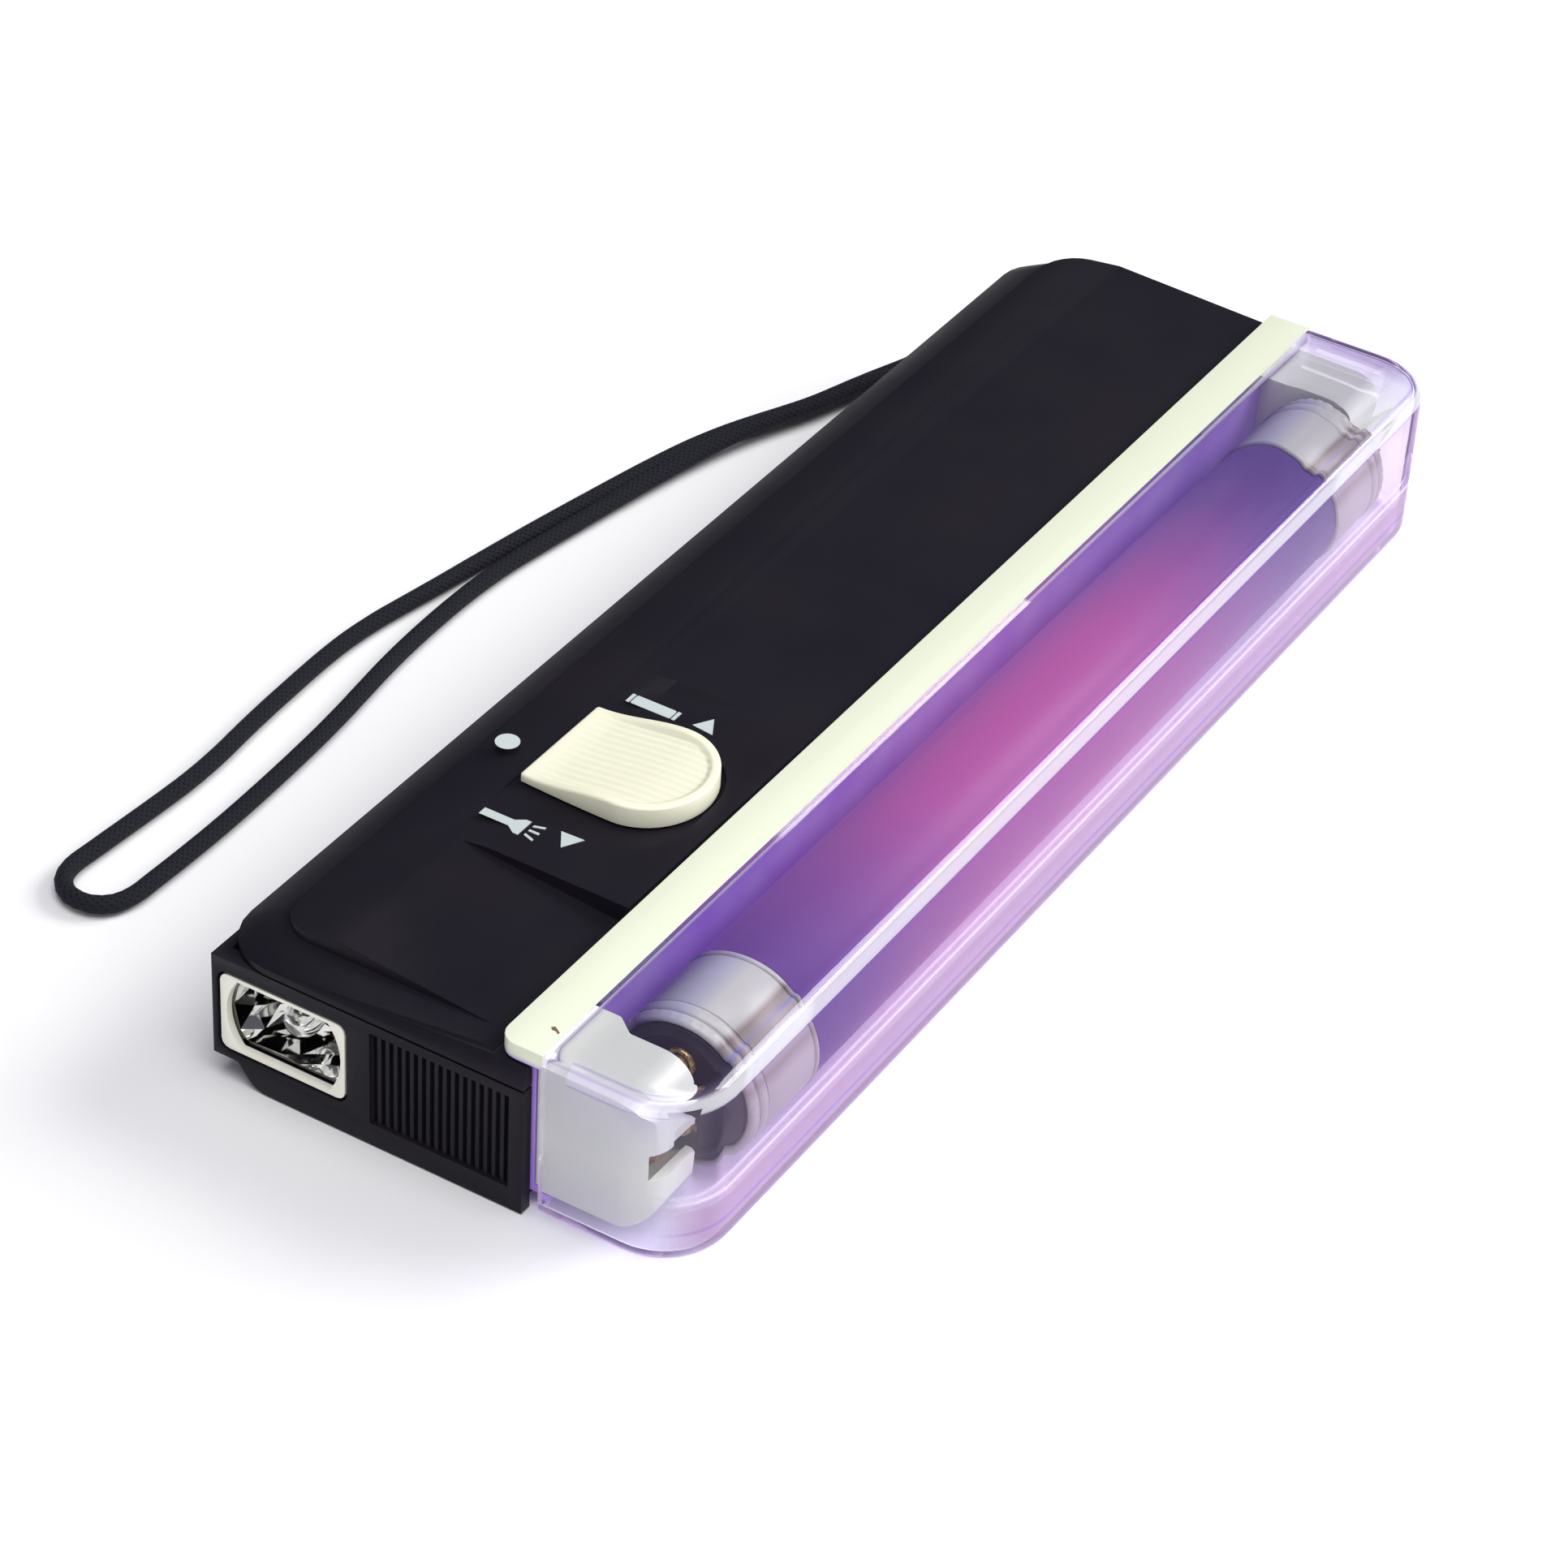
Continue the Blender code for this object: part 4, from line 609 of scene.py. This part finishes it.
def tube_along(name, path, radius, sides=14):
    """A round tube through path, its UV map the length along it (mm) and the turn round it (0 to 1)."""
    bm = bmesh.new()
    uv = bm.loops.layers.uv.new("UVMap")
    rings, lengths = [], []
    normal = Vector((0, 0, 1))
    travelled = 0.0
    for i, point in enumerate(path):
        ahead = (path[min(i + 1, len(path) - 1)] - path[max(i - 1, 0)]).normalized()
        normal = (normal - ahead * normal.dot(ahead)).normalized()
        side = ahead.cross(normal)
        travelled += (point - path[i - 1]).length if i else 0.0
        rings.append([bm.verts.new(point + radius * (math.cos(a) * normal + math.sin(a) * side))
                      for a in (2 * math.pi * k / sides for k in range(sides))])
        lengths.append(travelled)
    for i in range(len(rings) - 1):
        for k in range(sides):
            j = (k + 1) % sides
            face = bm.faces.new((rings[i][k], rings[i][j], rings[i + 1][j], rings[i + 1][k]))
            marks = ((lengths[i], k), (lengths[i], k + 1), (lengths[i + 1], k + 1), (lengths[i + 1], k))
            for loop, (along, turn) in zip(face.loops, marks):
                loop[uv].uv = (along, turn / sides)
    bm.faces.new(list(reversed(rings[0])))
    bm.faces.new(rings[-1])
    return add_mesh(name, bm), travelled


def make_cord():
    line = smooth_path(CORD_ROUTE, 4.4)
    piece, length = tube_along("wrist_cord_braided", smooth_path(line, 1.1), CORD_R - BRAID_INSET)
    dress(piece, "braid", "case", ["wrist_cord"], angle=60.0)


make_cord()


# ---------------------------------------------------------------- shells
SLOTS = {row["node"]: row["material_slot"] for row in frame["record"]["subparts"]}
BODIES = {node: body for body, nodes in frame["record"]["behaviour"]["bodies"].items() for node in nodes}


def rounded_copy(node, width, segments=3, angle=35.0, look=None):
    """The CAD node again with its edges rounded, standing for it."""
    bm = bmesh.new()
    bm.from_mesh(frame["nodes"][node].data)
    bmesh.ops.scale(bm, vec=(1 / MM, 1 / MM, 1 / MM), verts=bm.verts)
    bmesh.ops.remove_doubles(bm, verts=bm.verts, dist=0.002)
    bmesh.ops.dissolve_limit(bm, angle_limit=math.radians(1.0), verts=bm.verts, edges=bm.edges)
    piece = add_mesh(node + "_rounded", bm)
    dress(piece, SLOTS[node], BODIES[node], [node], angle=None, look=look)
    return round_edges(piece, width, segments, angle)


rounded_copy("bottom_case", 0.3)
rounded_copy("top_case", 0.35)
rounded_copy("battery_door", 0.25)
rounded_copy("reflector_tray", 0.3, look=glowing_cream())
rounded_copy("torch_bezel", 0.15, look=cream_plastic("bezel_plastic", (0.92, 0.90, 0.78)))


# ---------------------------------------------------------------- printed marks on the switch panel
PANEL_Z = 20.0
PRINT_T = 0.06               # thickness of the printed marks
PRINT = moulded("white_print", (0.50, 0.56, 0.56), 0.5, 0.04, 0.4, 0.004)


def make_mark(name, outline):
    piece = prism(name, outline, "XY", PANEL_Z, PANEL_Z + PRINT_T)
    return dress(piece, "cream_abs", "case", look=PRINT)


def make_marks():
    """A dot at the middle, and an arrow with a picture on each side: a tube and a torch."""
    make_mark("mark_dot", arc(-19.8, -40.8, 1.3, 1.3, 0, 345, 23))
    make_mark("mark_tube_arrow", [(-6.1, -27.6), (-3.5, -27.9), (-4.8, -25.5)])
    make_mark("mark_torch_arrow", [(-7.1, -50.0), (-5.7, -52.2), (-4.4, -49.9)])
    tube_y = -27.3
    make_mark("mark_tube_body", filleted([(-13.4, tube_y - 0.75, 0.2), (-8.6, tube_y - 0.75, 0.2),
                                          (-8.6, tube_y + 0.75, 0.2), (-13.4, tube_y + 0.75, 0.2)], 3))
    for side, x in (("left", -13.75), ("right", -8.25)):
        make_mark("mark_tube_cap_" + side, [(x - 0.2, tube_y - 0.75), (x + 0.2, tube_y - 0.75),
                                            (x + 0.2, tube_y + 0.75), (x - 0.2, tube_y + 0.75)])
    torch_y = -51.7
    make_mark("mark_torch_body", [(-15.4, torch_y - 0.55), (-11.9, torch_y - 0.55), (-10.9, torch_y - 1.25),
                                  (-10.3, torch_y - 1.25), (-10.3, torch_y + 1.25), (-10.9, torch_y + 1.25),
                                  (-11.9, torch_y + 0.55), (-15.4, torch_y + 0.55)])
    for i, (y0, y1) in enumerate(((0.75, 1.15), (0.0, 0.0), (-0.75, -1.15))):
        make_mark("mark_torch_ray_%d" % (i + 1), [(-9.8, torch_y + y0 - 0.16), (-8.6, torch_y + y1 - 0.16),
                                                  (-8.6, torch_y + y1 + 0.16), (-9.8, torch_y + y0 + 0.16)])


make_marks()


def make_gate_mark():
    """Small brown scar where the strip was cut from its runner."""
    outline = [(8.7, -75.2), (9.0, -75.5), (9.4, -75.45), (9.75, -75.7), (9.85, -75.5), (9.4, -75.2),
               (9.0, -74.95)]
    piece = prism("strip_gate_mark", outline, "XY", 19.78, 19.84)
    dress(piece, "cream_abs", "case", look=moulded("scorched_cream", (0.20, 0.10, 0.06), 0.6, 0.4, 0.3))


make_gate_mark()


# ---------------------------------------------------------------- switch knob
KNOB_CENTRE_Y = -37.8
KNOB_LEFT, KNOB_RIGHT, KNOB_ARC_X = -15.6, 2.3, -4.6
KNOB_HALF_LEFT, KNOB_HALF_MID = 7.1, 7.5
KNOB_FOOT_Z = 19.5
KNOB_LOW_Z, KNOB_HIGH_Z = 20.36, 21.85
RIDGE_PITCH, RIDGE_DEPTH = 1.02, 0.055


def blend(value, low, high):
    """Smooth 0 to 1 as value goes from low to high."""
    t = min(1.0, max(0.0, (value - low) / (high - low)))
    return t * t * (3 - 2 * t)


def knob_rim_z(x):
    """Height of the knob's rim at x: thin on the left, full on the right, an S between."""
    return KNOB_LOW_Z + (KNOB_HIGH_Z - KNOB_LOW_Z) * blend(x, -14.8, -4.2)


def knob_half_width(x, inset):
    """Half the width of the knob's plan at x, drawn in by inset."""
    reach = KNOB_RIGHT - KNOB_ARC_X - inset
    if x > KNOB_ARC_X:
        return (KNOB_HALF_MID - inset) * math.sqrt(max(0.0, 1 - ((x - KNOB_ARC_X) / reach) ** 2))
    share = (x - KNOB_LEFT) / (KNOB_ARC_X - KNOB_LEFT)
    return KNOB_HALF_LEFT + (KNOB_HALF_MID - KNOB_HALF_LEFT) * math.sin(share * math.pi / 2) - inset


def knob_surface(x, y):
    """Top of the knob: a raised rim round a ridged finger dish that fades out on the left."""
    half = knob_half_width(x, 0.0)
    offset = abs(y - KNOB_CENTRE_Y)
    gap = half - offset
    if x > KNOB_ARC_X:
        reach = KNOB_RIGHT - KNOB_ARC_X
        radius = math.hypot((x - KNOB_ARC_X) / reach, offset / KNOB_HALF_MID)
        gap = (1 - radius) * (reach + KNOB_HALF_MID) / 2
    inside = blend(gap, 0.8, 1.5) * blend(x, -15.0, -12.0)
    dish = max(0.0, knob_rim_z(x) - KNOB_LOW_Z + 0.06 - 1.3 * blend(x, KNOB_LEFT, -1.0))
    ridges = RIDGE_DEPTH * math.cos(2 * math.pi * (y - KNOB_CENTRE_Y) / RIDGE_PITCH)
    return knob_rim_z(x) - inside * (dish + ridges + RIDGE_DEPTH)


def make_knob():
    """A fine grid over the plan for the top, then rings down its rounded edge to the foot."""
    bm = bmesh.new()
    rows, columns = 72, 300
    edge = 0.3
    xs = [KNOB_LEFT + edge + (KNOB_RIGHT - KNOB_LEFT - 2 * edge) * math.sin(math.pi / 2 * i / rows)
          for i in range(rows + 1)]
    grid = []
    for x in xs:
        half = max(0.02, knob_half_width(x, edge))
        grid.append([bm.verts.new((x, KNOB_CENTRE_Y + half * (2 * j / columns - 1),
                                   knob_surface(x, KNOB_CENTRE_Y + half * (2 * j / columns - 1))))
                     for j in range(columns + 1)])
    for i in range(rows):
        for j in range(columns):
            bm.faces.new((grid[i][j], grid[i + 1][j], grid[i + 1][j + 1], grid[i][j + 1]))
    loop = [grid[i][0] for i in range(rows + 1)] + grid[rows][1:]
    loop += [grid[i][columns] for i in reversed(range(rows))] + list(reversed(grid[0][1:-1]))
    previous = loop
    centre = Vector((KNOB_ARC_X, KNOB_CENTRE_Y))
    for out, drop in ((0.13, 0.03), (0.24, 0.12), (edge, 0.27), (edge, None)):
        ring = []
        for k, vert in enumerate(loop):
            along = (loop[(k + 1) % len(loop)].co - loop[k - 1].co).to_2d()
            normal = Vector((along.y, -along.x)).normalized() if along.length > 1e-6 else Vector((1, 0))
            if normal.dot(vert.co.to_2d() - centre) < 0:
                normal = -normal
            spot = vert.co.to_2d() + normal * out
            height = KNOB_FOOT_Z if drop is None else max(knob_rim_z(vert.co.x) - drop, KNOB_FOOT_Z + 0.3)
            ring.append(bm.verts.new((spot.x, spot.y, height)))
        for k in range(len(loop)):
            j = (k + 1) % len(loop)
            bm.faces.new((previous[k], previous[j], ring[j], ring[k]))
        previous = ring
    bm.faces.new(previous)
    knob = add_mesh("switch_knob_ridged", bm)
    stem = block("knob_stem", (-10.0, KNOB_CENTRE_Y - 1.5, 15.0), (-6.0, KNOB_CENTRE_Y + 1.5, KNOB_FOOT_Z))
    dress(merged("switch_knob_ridged", [knob, stem]), "cream_abs", "switch", ["switch_knob"], angle=50.0,
          look=cream_plastic("knob_plastic", (0.80, 0.79, 0.62)))


make_knob()


# ---------------------------------------------------------------- ultraviolet tube
CAP_R, CAP_LENGTH, CAP_FACE_Y = 7.85, 12.0, 68.0
PIN_R, PIN_SPACING, PIN_LENGTH = 1.17, 4.75, 7.1


def make_tube_glass():
    neck = 7.2
    shoulder = CAP_FACE_Y - CAP_LENGTH - 0.4
    end = CAP_FACE_Y - 2.0
    half = [(0, end), (neck - 1.2, end), (neck - 0.35, end - 0.35), (neck, end - 1.2), (neck, shoulder + 0.4),
            (TUBE_R - 0.12, shoulder + 0.2), (TUBE_R, shoulder)]
    profile = half + [(r, -h) for r, h in reversed(half)]
    glass = turned("tube_glass_smooth", profile, (TUBE_X, TUBE_Y, TUBE_Z), "+Y", 96)
    dress(glass, "lamp_glass", "lamp", ["tube_glass"])


def bead(centre, radius, bulge, half_height, steps=8):
    """Profile points of a rolled bead centred at a height, running downwards."""
    return [(radius + bulge * math.sin(math.pi * k / steps),
             centre + half_height * math.cos(math.pi * k / steps)) for k in range(steps + 1)]


# painted reflections on the caps, set by the angle round the tube: degrees from +X towards +Z
CAP_PAINTED_REFLECTIONS = ((-180, (0.42, 0.42, 0.46)), (-30, (0.40, 0.40, 0.40)), (15, (0.40, 0.40, 0.38)),
             (26, (0.28, 0.26, 0.23)), (34, (0.42, 0.43, 0.41)), (39, (0.44, 0.45, 0.46)),
             (44, (0.14, 0.16, 0.50)), (48, (0.26, 0.24, 0.22)), (55, (0.20, 0.17, 0.14)),
             (61, (0.44, 0.45, 0.40)), (84, (0.54, 0.55, 0.49)), (103, (0.40, 0.41, 0.50)),
             (112, (0.34, 0.34, 0.40)), (138, (0.12, 0.09, 0.22)), (180, (0.42, 0.42, 0.46)))


def cap_metal_painted_reflections():
    """Bright aluminium with soft lengthwise bands of painted reflection, set by the angle round the tube."""
    look = Look("cap_metal_painted_reflections", (0.78, 0.78, 0.77), 0.30, Metallic=0.1, Specular_IOR_Level=0.15)
    axes = look.node("SeparateXYZ", {"Vector": look.place})
    turn = look.maths("ARCTAN2", look.maths("SUBTRACT", axes.outputs["Z"], TUBE_Z * MM),
                      look.maths("SUBTRACT", axes.outputs["X"], TUBE_X * MM))
    wave = look.product(look.maths("SUBTRACT", look.noise(8.0, 2.0), 0.5), 0.012)
    round_cap = look.maths("ADD", look.ramp(turn, 0.0, 1.0, -math.pi, math.pi), wave)
    ramp = look.node("ValToRGB", {"Fac": round_cap})
    set_stops(ramp, [((degrees + 180) / 360, colour) for degrees, colour in CAP_PAINTED_REFLECTIONS])
    look.feed("Base Color", ramp.outputs["Color"])
    lines = look.noise(0.4, 3.0, (1.0, 0.06, 1.0))
    look.feed("Roughness", look.ramp(lines, 0.36, 0.42, 0.25, 0.75))
    look.bump(lines, 0.0004)
    return look.material


CAP_METAL_PAINTED_REFLECTIONS = cap_metal_painted_reflections()


def make_tube_end(label, side):
    """Cap with two rolled beads and a lip at the glass, dark disc, eyelets and pins; heights run outwards."""
    direction = "+Y" if side > 0 else "-Y"
    start = TUBE_Y + side * (CAP_FACE_Y - CAP_LENGTH - 0.05)
    length = CAP_LENGTH
    wall = CAP_R - 0.12
    profile = [(CAP_R - 1.0, length - 0.25), (CAP_R - 0.75, length - 0.03)]
    profile += bead(length - 0.72, CAP_R - 0.5, 0.5, 0.7)
    profile += bead(length - 2.2, CAP_R - 0.42, 0.4, 0.75)
    profile += [(wall - 0.12, length - 3.05), (wall - 0.1, length - 3.2), (wall, length - 3.35), (wall, 0.95),
                (wall - 0.1, 0.75)]
    profile += bead(0.35, CAP_R - 0.3, 0.3, 0.3)
    profile += [(CAP_R - 0.4, 0.05), (CAP_R - 0.4, length - 1.0), (CAP_R - 1.0, length - 0.6)]
    cap = turned("tube_cap_%s_beaded" % label, profile, (TUBE_X, start, TUBE_Z), direction, 120)
    knurl_bead(cap, start + side * (length - 0.72), 0.6)
    dress(cap, "aluminium", "lamp", ["tube_cap_" + label], angle=50.0, look=CAP_METAL_PAINTED_REFLECTIONS)

    face = TUBE_Y + side * (CAP_FACE_Y - 1.6)
    disc = turned("tube_disc_%s_pressed" % label,
                  [(0, 1.7), (5.0, 1.7), (5.3, 2.0), (5.7, 2.0), (6.0, 1.7), (6.6, 1.5), (6.8, 1.2),
                   (6.8, 0), (0, 0)],
                  (TUBE_X, face, TUBE_Z), direction, 72)
    for dz in (-PIN_SPACING / 2, PIN_SPACING / 2):
        hole = turned("pin_hole", [(0, 4.0), (PIN_R + 0.3, 4.0), (PIN_R + 0.3, -1.0), (0, -1.0)],
                      (TUBE_X, face, TUBE_Z + dz), direction, 32)
        carve(disc, hole)
    dress(disc, "phenolic", "lamp", ["tube_disc_" + label])
    for word, dz in (("low", -PIN_SPACING / 2), ("high", PIN_SPACING / 2)):
        place = (TUBE_X, TUBE_Y + side * (CAP_FACE_Y - 1.5), TUBE_Z + dz)
        reach = PIN_LENGTH + 1.5
        pin = turned("tube_pin_%s_%s_round" % (label, word),
                     [(0, reach), (0.55, reach - 0.06), (0.95, reach - 0.3), (PIN_R, reach - 0.75),
                      (PIN_R, 0), (0, 0)], place, direction, 32)
        dress(pin, "brass", "lamp", ["tube_pin_%s_%s" % (label, word)])
        eyelet = turned("tube_eyelet_%s_%s" % (label, word),
                        [(1.3, 1.95), (1.55, 2.15), (1.85, 2.05), (1.95, 1.75), (1.3, 1.75)],
                        (TUBE_X, face, TUBE_Z + dz), direction, 36)
        dress(eyelet, "brass", "lamp")


def knurl_bead(cap, y, reach):
    """Small notches round the outer bead."""
    notches = 40
    for vert in cap.data.vertices:
        if abs(vert.co.y / MM - y) > reach:
            continue
        dx, dz = vert.co.x / MM - TUBE_X, vert.co.z / MM - TUBE_Z
        radius = math.hypot(dx, dz)
        if radius < CAP_R - 0.3:
            continue
        change = 1 - 0.008 * (1 + math.cos(notches * math.atan2(dz, dx)))
        vert.co.x = (TUBE_X + dx * change) * MM
        vert.co.z = (TUBE_Z + dz * change) * MM


make_tube_glass()
make_tube_end("near", -1)
make_tube_end("far", 1)


# ---------------------------------------------------------------- lamp holders
HOLDER_Y0, HOLDER_Y1, HOLDER_RIGHT = 70.5, 78.3, 22.2
HOLDER_FOOT_Y = {"near": 68.9, "far": 70.15}
HOLDER_PLASTIC = cream_plastic("holder_plastic", (0.60, 0.64, 0.53))


def make_holder(label, side):
    """Soft-cornered block with the pin socket and the slot the pins enter by."""
    name = "lamp_holder_" + label
    foot = HOLDER_FOOT_Y[label]
    low, high = sorted((side * foot, side * HOLDER_Y1))
    profile = [(9.4, 2.9, 0), (HOLDER_RIGHT, 2.9, 3.4), (HOLDER_RIGHT, 17.7, 4.0), (9.4, 17.7, 0)]
    piece = prism(name + "_moulded", filleted(profile, 12), "XZ", low, high)
    plan = prism("holder_plan", filleted(
        [(8.0, side * foot, 0), (12.4, side * foot, 0.6), (14.4, side * HOLDER_Y0, 0.8),
         (HOLDER_RIGHT, side * HOLDER_Y0, 0.5), (HOLDER_RIGHT, side * HOLDER_Y1, 3.6),
         (8.0, side * HOLDER_Y1, 0)], 10), "XY", 0, 20)
    carve(piece, plan, operation="INTERSECT")
    round_edges(piece, 1.1, 5, 50.0)
    settle(piece)
    front = side * (HOLDER_Y0 - 2.5)
    y0, y1 = sorted((front, side * 77.1))
    socket = turned("holder_socket", [(0, y1 - y0), (3.7, y1 - y0), (3.7, 0), (0, 0)],
                    (TUBE_X, y0, TUBE_Z), "+Y", 48)
    entry = block("holder_entry", (TUBE_X, y0, TUBE_Z - 1.6), (27, y1, TUBE_Z + 1.6))
    y0, y1 = sorted((front, side * (HOLDER_Y0 + 4)))
    step = block("holder_step", (HOLDER_RIGHT - 0.35, y0, TUBE_Z - 1.2), (27, y1, TUBE_Z + 3.4))
    y0, y1 = sorted((front, side * (HOLDER_Y1 - 0.5)))
    pockets = [block("holder_pocket", (TUBE_X - 1.3, y0, TUBE_Z + low_z), (TUBE_X + 1.3, y1, TUBE_Z + high_z))
               for low_z, high_z in ((3.5, 5.0), (-5.0, -3.5))]
    carve(piece, socket, entry, step, *pockets)
    dress(piece, "cream_abs", "case", [name], angle=None, look=HOLDER_PLASTIC)
    round_edges(piece, 0.12, 2, 50.0)


make_holder("near", -1)
make_holder("far", 1)


# ---------------------------------------------------------------- clear cover
def cover_plan(inset, x0):
    half = COVER_HALF_LENGTH - inset
    x1 = COVER_X1 - inset
    r = 7.5 - inset
    return filleted([(x0, -half, 0), (x1, -half, r), (x1, half, r), (x0, half, 0)], 14)


def make_cover():
    cover = prism("tube_cover_clear", cover_plan(0.0, 4.0), "XY", 0.0, COVER_TOP)
    round_edges(cover, 2.3, 14, 60.0)
    settle(cover)
    inner = prism("cover_inner", cover_plan(COVER_T, 2.0), "XY", COVER_T, COVER_TOP - COVER_T)
    round_edges(inner, 0.35, 3, 60.0)
    settle(inner)
    carve(cover, inner, block("cover_side", (0, -82, -2), (COVER_X0, 82, 24)))
    dress(cover, "clear_cover", "lamp_cover", ["tube_cover"], angle=32.0)


make_cover()


# ---------------------------------------------------------------- torch
TORCH_X, TORCH_Z, TORCH_R = -19.1, 8.5, 6.8
MIRROR_FRONT_Y = -78.6
MIRROR_LOW_Z, MIRROR_HIGH_Z = 4.2, 12.7      # the dish is cropped to its oblong frame


def make_reflector_floor():
    """Flat bottom of the mirror: a plate of small tilted facets under the bulb."""
    bm = bmesh.new()
    columns, rows = 7, 4
    x0, x1, y0, y1 = TORCH_X - 6.9, TORCH_X + 6.9, MIRROR_FRONT_Y, -72.4
    tops, feet = [], []
    for i in range(columns + 1):
        x = x0 + (x1 - x0) * i / columns
        reach = math.sqrt(max(0.0, 1 - ((x - TORCH_X) / 7.25) ** 2))
        end = y0 + (y1 - y0) * reach
        tops.append([bm.verts.new((x, y0 + (end - y0) * j / rows,
                                   MIRROR_LOW_Z + 0.3 + 0.28 * ((i * 5 + j * 3) % 4) / 3))
                     for j in range(rows + 1)])
        feet.append([bm.verts.new((x, y0 + (end - y0) * j / rows, MIRROR_LOW_Z)) for j in range(rows + 1)])
    for i in range(columns):
        for j in range(rows):
            bm.faces.new((tops[i][j], tops[i + 1][j], tops[i + 1][j + 1]))
            bm.faces.new((tops[i][j], tops[i + 1][j + 1], tops[i][j + 1]))
            bm.faces.new((feet[i][j], feet[i][j + 1], feet[i + 1][j + 1], feet[i + 1][j]))
        for j in (0, rows):
            bm.faces.new((tops[i][j], feet[i][j], feet[i + 1][j], tops[i + 1][j]))
    for i in (0, columns):
        for j in range(rows):
            bm.faces.new((tops[i][j], tops[i][j + 1], feet[i][j + 1], feet[i][j]))
    return add_mesh("mirror_floor", bm)


def make_reflector():
    """Mirror dish of flat facets, its rings turned half a facet against each other."""
    sides = 14
    depths = [0.0, 2.2, 4.6, 6.8, 8.3]
    bm = bmesh.new()

    def ring(radius, depth, shift):
        return [bm.verts.new((radius * math.cos(2 * math.pi * (k + shift) / sides), -depth,
                              radius * math.sin(2 * math.pi * (k + shift) / sides))) for k in range(sides)]

    inner = []
    for i, depth in enumerate(depths):
        radius = 2.3 + (TORCH_R - 2.3) * math.sqrt(1 - depth / depths[-1])
        inner.append(ring(radius, depth, 0.5 * (i % 2)))
    outer = [ring(radius, depth, 0.0)
             for radius, depth in ((7.3, 0.0), (7.3, 3.0), (5.1, 7.5), (2.8, depths[-1]))]
    for first, second in zip(inner, inner[1:]):
        shifted = inner.index(first) % 2
        for k in range(sides):
            j = (k + 1) % sides
            if shifted:
                bm.faces.new((first[k], first[j], second[j]))
                bm.faces.new((first[k], second[j], second[k]))
            else:
                bm.faces.new((first[k], first[j], second[k]))
                bm.faces.new((first[j], second[j], second[k]))
    for first, second in zip([inner[0]] + outer, outer + [inner[-1]]):
        for k in range(sides):
            j = (k + 1) % sides
            bm.faces.new((first[k], first[j], second[j], second[k]))
    turn_round = Matrix.Translation((TORCH_X, MIRROR_FRONT_Y, TORCH_Z)) @ Matrix.Scale(-1, 4, (0, 1, 0))
    bmesh.ops.transform(bm, matrix=turn_round, verts=bm.verts)
    dish = add_mesh("torch_reflector_faceted", bm)
    carve(dish, block("dish_crop", (-30, -84, MIRROR_LOW_Z), (-5, -60, MIRROR_HIGH_Z)), operation="INTERSECT")
    dish = merged("torch_reflector_faceted", [dish, make_reflector_floor()])
    dress(dish, "chrome", "case", ["torch_reflector"], angle=2.0)


def make_bulb():
    """Small round-tipped bulb, its tip towards the opening."""
    profile = [(0, 9.0), (0.55, 8.92), (1.0, 8.68), (1.4, 8.3), (1.75, 7.7), (1.92, 7.1), (1.95, 6.5),
               (1.85, 5.8), (1.65, 5.1), (1.6, 4.4), (1.6, 0), (0, 0)]
    glass = turned("torch_bulb_glass_round", profile, (TORCH_X, -69.6, TORCH_Z), "-Y", 48)
    dress(glass, "bulb_glass", "case", ["torch_bulb_glass"])


make_reflector()
make_bulb()


# ---------------------------------------------------------------- stage and lights
def make_floor():
    """Plain pale table, wide enough to reach the horizon from low angles."""
    bm = bmesh.new()
    bmesh.ops.create_grid(bm, x_segments=2, y_segments=2, size=20000.0)
    floor = add_mesh("floor", bm)
    floor.location.z = -0.0002
    look = Look("studio_floor", (0.86, 0.86, 0.87), 0.7)
    look.feed("Base Color", look.mix(look.ramp(look.noise(60.0, 3.0), 0.0, 1.0), (0.85, 0.85, 0.86),
                                     (0.87, 0.87, 0.88)))
    floor.data.materials.append(look.material)


def make_light(name, direction, distance, size, power, colour=(1.0, 1.0, 1.0)):
    """A soft rectangular light facing the object; distance and size in metres."""
    place = Vector(direction).normalized() * distance
    data = bpy.data.lights.new(name, "AREA")
    data.shape = "RECTANGLE"
    data.size, data.size_y = size
    data.energy = power
    data.color = colour
    light = bpy.data.objects.new(name, data)
    light.location = place
    light.rotation_euler = (-place).to_track_quat("-Z", "Y").to_euler()
    bpy.context.scene.collection.objects.link(light)


def make_world():
    """Dim studio with a large pale wall on the tube's side."""
    world = bpy.data.worlds.new("studio")
    world.use_nodes = True
    tree = world.node_tree
    place = tree.nodes.new("ShaderNodeTexCoord")
    axes = tree.nodes.new("ShaderNodeSeparateXYZ")
    tree.links.new(place.outputs["Generated"], axes.inputs["Vector"])
    ramp = tree.nodes.new("ShaderNodeValToRGB")
    set_stops(ramp, ((0.0, (0.12, 0.12, 0.15)), (0.15, (0.10, 0.10, 0.13)), (0.5, (0.72, 0.73, 0.76)),
                     (1.0, (0.80, 0.80, 0.80))))
    tree.links.new(axes.outputs["X"], ramp.inputs["Fac"])
    tree.links.new(ramp.outputs["Color"], tree.nodes["Background"].inputs["Color"])
    tree.nodes["Background"].inputs["Strength"].default_value = 1.0
    bpy.context.scene.world = world


make_floor()
make_world()
make_light("key_softbox", (0.55, 0.62, 0.58), 1.6, (0.8, 0.8), 20.0, (1.0, 0.99, 0.96))
make_light("overhead_softbox", (0.15, -0.2, 0.95), 1.6, (1.1, 1.1), 18.0)
make_light("front_softbox", (0.35, -1.0, 0.12), 1.2, (0.9, 0.35), 1.5)
bpy.context.scene.view_settings.view_transform = "Standard"
